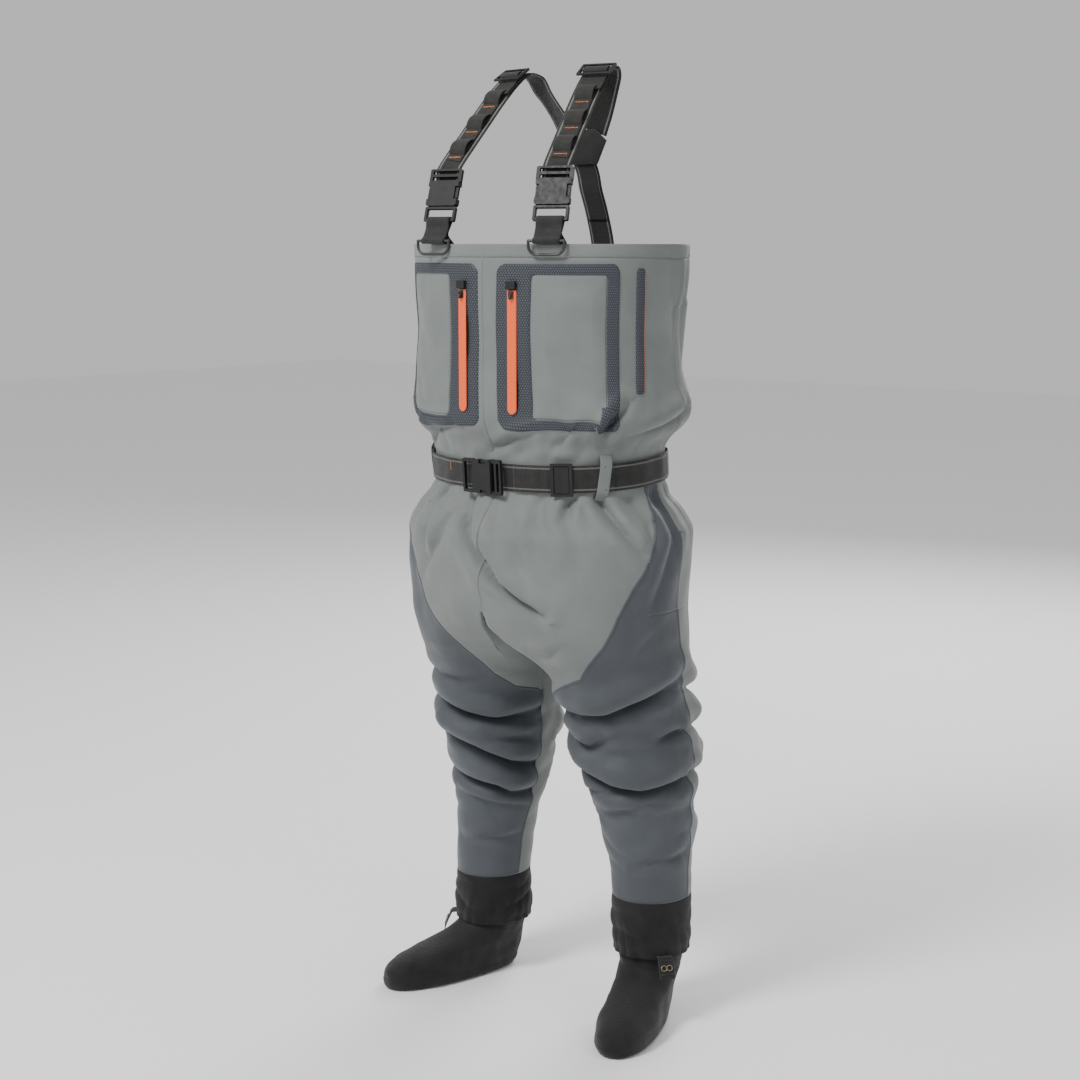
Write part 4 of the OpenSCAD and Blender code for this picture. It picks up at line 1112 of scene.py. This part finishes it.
def brace_points(side):
    x, y = SHOULDER
    return ([buckle_point(side, 5.2, BODY_H + h) for h in (2, 12, 26)] + brace_front(side)
            + [np.array(q) for q in ((side * x, y, STRAP_TOP), (side * (x - 8), y + 18, STRAP_TOP - 10),
                                     (side * (x - 22), y + 28, STRAP_TOP - 36),
                                     (side * (x - 42), y + 40, STRAP_TOP - 72),
                                     (side * (x - 57), y + 46, STRAP_TOP - 100))])


def bartack(name, centre, along, normal, length, material=ORANGE_THREAD, width=2.2, body=ROOT):
    """A dense zigzag of thread that holds webbing down."""
    c, a, n = (np.asarray(v, float) for v in (centre, along, normal))
    a, n = a / np.linalg.norm(a), n / np.linalg.norm(n)
    b = np.cross(n, a)
    count = int(length / 0.9)
    f = np.linspace(-0.5, 0.5, count)
    zig = np.where(np.arange(count) % 2 == 0, -0.5, 0.5)
    line = c + a * (f * length)[:, None] + b * (zig * width)[:, None] + n * 0.5
    ribbon_on(name, line, np.ones_like(line) * n, 0.95, 0.55, material, body=body)


def make_braces():
    for word, side in SIDES.items():
        pts = brace_points(side)
        path = smooth_path(pts, 150)
        f = smoothstep(np.linspace(0, 1, 150), 0.55, 0.86)[:, None]
        sides = yaw_dir(side) * (1 - f) + np.array([1, side * 0.2, side * 0.35]) * f
        band(f"brace_webbing_{word}", path, sides, STRAP_W, STRAP_T, BRACE_WEB, nodes=[f"brace_{word}"])
        # narrower webbing on the front, sewn down between loops that stand up
        front = smooth_path([buckle_point(side, 5.2, BODY_H + 26)] + brace_front(side), 210)
        s = np.linspace(0, 1, 210)
        use = (s > 0.06) & (s < 0.86)
        front, s = front[use], s[use]
        t = np.gradient(front, axis=0)
        t /= np.linalg.norm(t, axis=1, keepdims=True)
        n = np.cross(yaw_dir(side) * np.ones_like(t), t)
        n /= np.linalg.norm(n, axis=1, keepdims=True)
        part = (s - s[0]) / (s[-1] - s[0]) * 3
        inside = np.clip((part % 1 - 0.22) / 0.60, 0, 1)
        lift = 2.6 + 8.6 * np.sin(math.pi * inside) ** 0.75 * (part < 3)
        loops = front + n * lift[:, None]
        band(f"brace_loop_webbing_{word}", loops, yaw_dir(side), 32, 1.5, LOOP_WEB,
             nodes=[f"loop_webbing_{word}"])
        for k in range(3):
            i = int(np.argmin(np.abs(part - (k + 0.11))))
            bartack(f"brace_bartack_{word}_{k}", front[i] + n[i] * 3.3, yaw_dir(side), n[i], 22)
        # the tab: from inside the bib, round the buckle's bar and back down to the ring
        strap_turn = math.degrees(math.asin((STRAP_X / 258) ** (1 / ROUNDNESS)))
        inside_y = torso_base(np.array(BIB_TOP), np.array(strap_turn))[1]
        wall = lambda z, back: np.array([side * STRAP_X, inside_y + back, BIB_TOP + z])
        top = BUCKLE_UP - 27
        inside = [wall(z, back) for z, back in ((-30, 18), (-12, 16), (-1, 12))]
        bar = [tab_point(side, 0, y, z) for y, z in ((0.3, 10), (3.2, top - 6), (5.3, top + 1.5),
                                                     (3.6, top + 7.2), (-1.2, top + 8.0), (-5.2, top + 4.5),
                                                     (-5.2, top - 1), (-3.2, top - 12))]
        ring = [ring_point(side, 0, y, z) for y, z in ((5.4, 8.5), (0.6, 4.3), (-3.6, 1.6), (-3.3, -2.4),
                                                       (0.8, -4.1), (5.4, -2.2))]
        route = inside + bar + ring
        band(f"ring_webbing_{word}", smooth_path(route, 120), yaw_dir(side), STRAP_W - 3, 2.0, PLAIN_WEB,
             nodes=[f"ring_tab_{word}"])
        # the doubled webbing goes up through the tri-glide, over its bar and down again
        over = [glide_point(side, y, z) for y, z in ((-44, -10), (-24, -7), (-10, -3), (-6, 3.4), (0, 5.6),
                                                     (6, 3.4), (10, -3), (22, -9), (36, -19))]
        band(f"glide_webbing_{word}", smooth_path(over, 70), glide_dir(side), STRAP_W - 4, 1.8, PLAIN_WEB)
    down = smooth_path([(0, 96, 1500), (0, 112, 1470), (0, 120, 1444), (0, 138, 1404), (0, 156, 1348),
                        (0, 157, 1290)], 90)
    band("back_strap_webbing", down, (1, 0, 0), STRAP_W, 2.6, BRACE_WEB, nodes=["back_strap"])
    n = np.cross(np.array([1.0, 0, 0]) * np.ones_like(down), np.gradient(down, axis=0))
    n /= np.linalg.norm(n, axis=1, keepdims=True)
    band("back_strap_layer", (down - n * 2.6)[6:48], (1, 0, 0), STRAP_W - 6, 2.0, BRACE_WEB)
    make_yoke()


def make_yoke():
    """The stitched patch where the braces meet."""
    outline = np.array([[-56, 14], [-34, 34], [34, 34], [56, 14], [30, -26], [-30, -26]], float)
    tilt = math.radians(14)
    verts, faces = [], []
    rings = [(1, 2.0), (1.0, -1.4), (0.965, -2.3), (0.90, -2.6), (0.86, -2.2), (0.82, -2.6), (0.4, -2.8)]
    back = [(0.965, 2.6), (0.5, 2.8)]
    order = [(s, -d) for s, d in reversed(back)] + [(s, -d) for s, d in rings]
    for scale, depth in order:
        for q in np.linspace(0, 6, 72, endpoint=False):
            i, f = int(q), q - int(q)
            p = (outline[i] * (1 - f) + outline[(i + 1) % 6] * f) * scale
            y, z = depth, p[1]
            verts.append((p[0], 92 + y * math.cos(tilt) - z * math.sin(tilt),
                          1512 + z * math.cos(tilt) + y * math.sin(tilt)))
    cols = 72
    faces = grid_faces(len(order), cols, True)
    faces.append(tuple(range(cols - 1, -1, -1)))
    faces.append(tuple((len(order) - 1) * cols + j for j in range(cols)))
    uv = [(v[0] + 60, v[2]) for v in verts]
    obj = link("back_yoke_patch", mesh_of("back_yoke_patch", verts, faces, uv), PLAIN_WEB)
    edit_mesh(obj, lambda bm: bmesh.ops.recalc_face_normals(bm, faces=bm.faces))
    attach(obj, "webbing", ["back_yoke"])


# ---------------------------------------------------------------- belt
BELT_W, BELT_T, BELT_CLEAR = 46.0, 3.0, 3.2


def belt_point(turn, off, up=0.0):
    """A point in the belt's tilted plane; up is along its width."""
    t = np.radians(turn)
    a, b = 214 + BELT_CLEAR + off, 148 + BELT_CLEAR + off
    x, y = a * power(np.sin(t), ROUNDNESS), -b * power(np.cos(t), ROUNDNESS)
    return stack(x, y * math.cos(BELT_TILT) - up * math.sin(BELT_TILT),
                 Z_WAIST + y * math.sin(BELT_TILT) + up * math.cos(BELT_TILT))


BELT_UP = np.array([0, -math.sin(BELT_TILT), math.cos(BELT_TILT)])


def make_belt():
    turns = np.arange(0, 360, 1.5)
    ripple_off = 0.5 * np.sin(np.radians(turns) * 17) + 0.4 * np.sin(np.radians(turns) * 29 + 1)
    band("belt_webbing_band", belt_point(-turns, BELT_T / 2 + ripple_off), BELT_UP, BELT_W, BELT_T * 0.8,
         BELT_WEB, closed=True, nodes=["belt_webbing"])
    turns = np.linspace(9, 62, 60)
    band("belt_webbing_fold", belt_point(turns[::-1], BELT_T + 1.9 + 0.5 * np.sin(turns)), BELT_UP,
         BELT_W - 1.5, 1.8, BELT_WEB)
    spot = belt_point(np.array([-24.0]), BELT_T + 0.4)[0]
    ahead = belt_point(np.array([-23.0]), BELT_T + 0.4)[0] - spot
    normal = np.cross(ahead, BELT_UP)
    bartack("belt_bartack", spot + BELT_UP * 9, BELT_UP, normal, 13)
    for i, turn in enumerate((56, 138, 180, 222, 290)):
        belt_loop(f"belt_loop_{i}", turn)


def belt_loop(name, turn):
    """A shell-fabric loop over the belt, sewn above and below it."""
    slant = math.tan(math.radians(14))
    ups = np.array([-38, -34, -29, -24, -14, 0, 14, 24, 29, 34, 38], float)
    outs = np.array([-1.8, -0.6, 2.2, 4.6, 5.4, 5.6, 5.4, 4.6, 2.2, -0.6, -1.8])
    pts = []
    for up, out in zip(ups, outs):
        shift = up * slant / 4.2
        pts.append(belt_point(np.array([turn + shift]), out + 0.4, up)[0])
    path = smooth_path(pts, 40)
    ahead = belt_point(np.array([turn + 1.0]), 4.0)[0] - belt_point(np.array([turn - 1.0]), 4.0)[0]
    obj = band(name, path, ahead, 20, 1.4, LIGHT_SHELL, slot="shell_light")
    if turn == 56:
        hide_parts("belt_loops")


# ---------------------------------------------------------------- booties and cuffs
ANKLE = (181.0, 66.0)
FOOT_YAW = math.radians(18)
toe_y = table((0, -232), (10, -238), (34, -234), (50, -206), (62, -160), (72, -112), (84, -78), (96, -64),
              (130, -62))
heel_y = table((0, 40), (10, 48), (50, 54), (90, 56), (130, 60))
foot_half_w = table((0, 46), (10, 50), (34, 51), (50, 49), (74, 50), (104, 54), (130, 58))
cuff_bulge = table((0, 7), (0.2, 10), (0.5, 8), (0.8, 4), (1, 2))


def foot_local(z, turn, off=0.0):
    t = np.radians(turn)
    soften = lambda f: (f(z - 5) + f(z) + f(z + 5)) / 3
    toe, heel = soften(toe_y), soften(heel_y)
    low = np.clip((80 - z) / 60, 0, 1)
    x = (soften(foot_half_w) + off) * power(np.sin(t), 0.9) * (1 + 0.16 * low * np.cos(t))
    return stack(x, (toe + heel) / 2 - ((heel - toe) / 2 + off) * power(np.cos(t), 0.92), z + 0 * turn)


def foot_world(side, p):
    c, s = math.cos(FOOT_YAW), math.sin(side * FOOT_YAW)
    return stack(side * ANKLE[0] + p[..., 0] * c - p[..., 1] * s, ANKLE[1] + p[..., 0] * s + p[..., 1] * c,
                 p[..., 2])


def make_bootie(word, side):
    """The neoprene sock: rounded sole edge, soft wrinkles over the instep, closed toe."""
    turns = np.linspace(0, 360, 145)[:-1]
    low_edge = [(0.0, -16), (0.0, -9), (0.4, -5.0), (1.6, -2.2), (3.6, -0.8), (6.5, 0)]
    zs = np.array([z for z, _ in low_edge] + list(np.arange(9, CUFF_LOW[side] + 24, 3.0)))
    offs = np.array([o for _, o in low_edge] + [0.0] * (len(zs) - len(low_edge)))
    zz, tt = zs[:, None] * np.ones(len(turns)), np.ones((len(zs), 1)) * turns
    p = foot_local(np.maximum(zz, 3), tt, offs[:, None] + 0 * tt)
    p[..., 2] = zz
    front = np.cos(np.radians(tt)).clip(0, 1)
    instep = np.exp(-((zz - 66) / 22) ** 2)
    wrinkle = puff(p[..., 1] / 30 + 0.3 * sines(p, 70, 81 + side)) - 0.6
    wrinkle = 2.4 * instep * wrinkle * (0.35 + 0.65 * front)
    lumps = (1.6 * sines(p, 80, 83 + side) + 0.8 * sines(p, 34, 85 + side)) * smoothstep(zz, 2, 14)
    ankle_ring = 1.8 * (puff(zz / 19 + 0.4 * sines(p, 60, 87 + side)) - 0.6) * smoothstep(zz, 74, 92)
    seam = 0.9 * np.exp(-((zz - 21 - 5 * np.sin(np.radians(tt * 2))) / 1.6) ** 2)
    around = np.diff(p[..., :2], axis=1, append=p[:, :1, :2])
    n = np.concatenate([around[..., ::-1] * (1, -1), 0 * p[..., :1]], -1)
    n /= np.maximum(np.linalg.norm(n, axis=-1, keepdims=True), 1e-9)
    p = p + n * (wrinkle + lumps + ankle_ring - seam * smoothstep(zz, 8, 14))[..., None]
    world = foot_world(side, p)
    rows, cols = zz.shape
    verts = list(world.reshape(-1, 3))
    faces = grid_faces(rows, cols, True)
    faces.append(tuple(range(cols - 1, -1, -1)))
    uv = np.stack([tt * 2.4, zz], -1).reshape(-1, 2)
    name = f"bootie_neoprene_{word}"
    obj = link(name, mesh_of(name, verts, faces, uv), SOCK)
    attach(obj, "neoprene", [f"bootie_{word}", f"sole_{word}"])
    return obj


def cuff_point(side, f, turn, off=0.0):
    z0, z1 = CUFF_LOW[side], CUFF_TOP[side]
    z = z0 + (z1 - z0) * f
    low = foot_world(side, foot_local(np.full_like(z, 130.0), turn, cuff_bulge(f) + off))
    high = leg_base(side, np.full_like(z, z1), np.where(side * turn > 305, turn - 360, turn) * side,
                    cuff_bulge(f) - 2 + off)
    e = (f * f * (3 - 2 * f))[..., None]
    p = low * (1 - e) + high * e
    p[..., 2] = z
    return p


def make_cuff(word, side):
    """The gathered gravel cuff: creased round the ankle, with a bound lower edge."""
    turns = np.linspace(0, 360, 161)[:-1]
    fs = np.linspace(0, 1, 34)
    ff, tt = fs[:, None] * np.ones(len(turns)), np.ones((len(fs), 1)) * turns
    base = cuff_point(side, ff, tt)
    up = np.sin(math.pi * ff)
    phase = ff * 2.6 + 0.35 * sines(base, 110, 91 + side) + 0.12 * np.sin(np.radians(tt * 2))
    folds = 3.4 * up * (puff(phase, 0.7) - 0.6)
    pleats = 2.3 * (1 - ff) ** 1.5 * (puff(tt / 24 + 0.4 * sines(base, 90, 93 + side), 0.8) - 0.6)
    bind = 1.1 * np.exp(-(ff / 0.05) ** 2)
    points = cuff_point(side, ff, tt, folds + pleats + bind + 1.2 * sines(base, 60, 95 + side) * up)
    name = f"ankle_cuff_{word}_fabric"
    obj = link(name, mesh_of(name, points, grid_faces(len(fs), len(turns), True),
                             np.stack([tt * 1.9, points[..., 2]], -1)), CUFF)
    thicken(obj, 2.4)
    attach(obj, "cuff_fabric", [f"ankle_cuff_{word}"])
    heights = full(turns, CUFF_TOP[side] + 3)
    line = leg_base(side, heights, turns, 1.0)
    normals = outward(lambda z, t: leg_base(side, z, t), heights, turns, side)
    stitch_row(f"cuff_stitches_{word}", line, normals, DARK_THREAD)


def ring_mesh(name, matrix, radius, wire, material, body, slot="dark_metal"):
    """A wire ring; matrix takes its own millimetres to the CAD frame."""
    verts, around, tube = [], 40, 12
    for i in range(around):
        a = 2 * math.pi * i / around
        for j in range(tube):
            b = 2 * math.pi * j / tube
            r = radius + wire * math.cos(b)
            verts.append(matrix(np.array([r * math.cos(a), wire * math.sin(b), r * math.sin(a)])))
    faces = [(i * tube + j, i * tube + (j + 1) % tube, ((i + 1) % around) * tube + (j + 1) % tube,
              ((i + 1) % around) * tube + j) for i in range(around) for j in range(tube)]
    obj = link(name, mesh_of(name, verts, faces), material)
    attach(obj, slot, body=body)
    return obj


def make_lace_hook(word, side):
    """A webbing tab with two bronze rings, hinged at the cuff."""
    body = f"lace_hook_{word}_body"
    turn, slope = side * math.radians(52), math.radians(-24)

    def matrix(p):
        x, y, z = p[0], p[1], p[2]
        y, z = y * math.cos(slope) - z * math.sin(slope), y * math.sin(slope) + z * math.cos(slope)
        y -= 80
        return np.array([side * ANKLE[0] + x * math.cos(turn) - y * math.sin(turn),
                         ANKLE[1] + x * math.sin(turn) + y * math.cos(turn), CUFF_LOW[side] + 4 + z])

    path = [matrix(np.array([0, y, z])) for y, z in ((0.2, 0), (0, -6), (-0.2, -14), (0, -24), (0.6, -31),
                                                     (1.0, -34))]
    width_dir = matrix(np.array([1.0, 0, 0])) - matrix(np.array([0.0, 0, 0]))
    obj = band(f"lace_tab_{word}", smooth_path(path, 26), width_dir, 28, 2.0, PLAIN_WEB, body=body,
               nodes=[f"lace_hook_{word}"])
    # the part of the webbing that is sewn inside the cuff and stays still
    sewn = [matrix(np.array([0, y, z])) for y, z in ((0.2, 0.4), (5, 4), (14, 7), (26, 10))]
    band(f"lace_anchor_{word}", smooth_path(sewn, 20), width_dir, 27, 1.8, PLAIN_WEB)
    front = matrix(np.array([0, -1.0, 0])) - matrix(np.array([0.0, 0, 0]))
    for k, z in enumerate((-3.5, -27)):
        bartack(f"lace_tab_bartack_{word}_{k}", matrix(np.array([0, -1.2, z])), width_dir, front, 22,
                material=DARK_THREAD, body=body)
    for k, x in enumerate((-5, 5)):
        ring_mesh(f"lace_ring_{word}_{k}", lambda p, x=x: matrix(p + (x, -2.6, -16)), 4.6, 0.95,
                  BRONZE, body)


# ---------------------------------------------------------------- rigid parts kept from the CAD
def finish_rigid():
    """Rounds the edges of the moulded and metal parts and gives them their materials."""
    moulded = ("buckle_", "prong_", "belt_buckle", "belt_prong", "belt_glide", "brace_glides", "zip_garage")
    looks = {n: (BLACK_PLASTIC, 0.9) for n in NODES if n.startswith(moulded)}
    looks.update({n: (METAL, 0.25) for n in NODES if n.startswith(("zip_slider", "zip_pull", "d_ring"))})
    for n, (material, edge) in looks.items():
        obj = NODES[n]
        if obj.data.materials:
            for i in range(len(obj.data.materials)):
                obj.data.materials[i] = material
        else:
            obj.data.materials.append(material)
        weld = obj.modifiers.new("weld", "WELD")
        weld.merge_threshold = 0.01 * MM
        bevel = obj.modifiers.new("bevel", "BEVEL")
        bevel.width = edge * MM
        bevel.segments = 3
        bevel.limit_method = "ANGLE"
        bevel.angle_limit = math.radians(40)
        obj.modifiers.new("shade", "WEIGHTED_NORMAL")


make_camera()
make_stage()
make_shell()
hem = ring_band("bib_hem_fabric", torso, BIB_TOP - HEM, BIB_TOP, 9, LIGHT_SHELL, "shell_light", ["bib_hem"])
for word, side in SIDES.items():
    pocket_frame(word, side)
    chest_zip(word, side)
    make_bootie(word, side)
    make_cuff(word, side)
    make_lace_hook(word, side)
side_pockets()
make_seams()
make_braces()
make_belt()
finish_rigid()
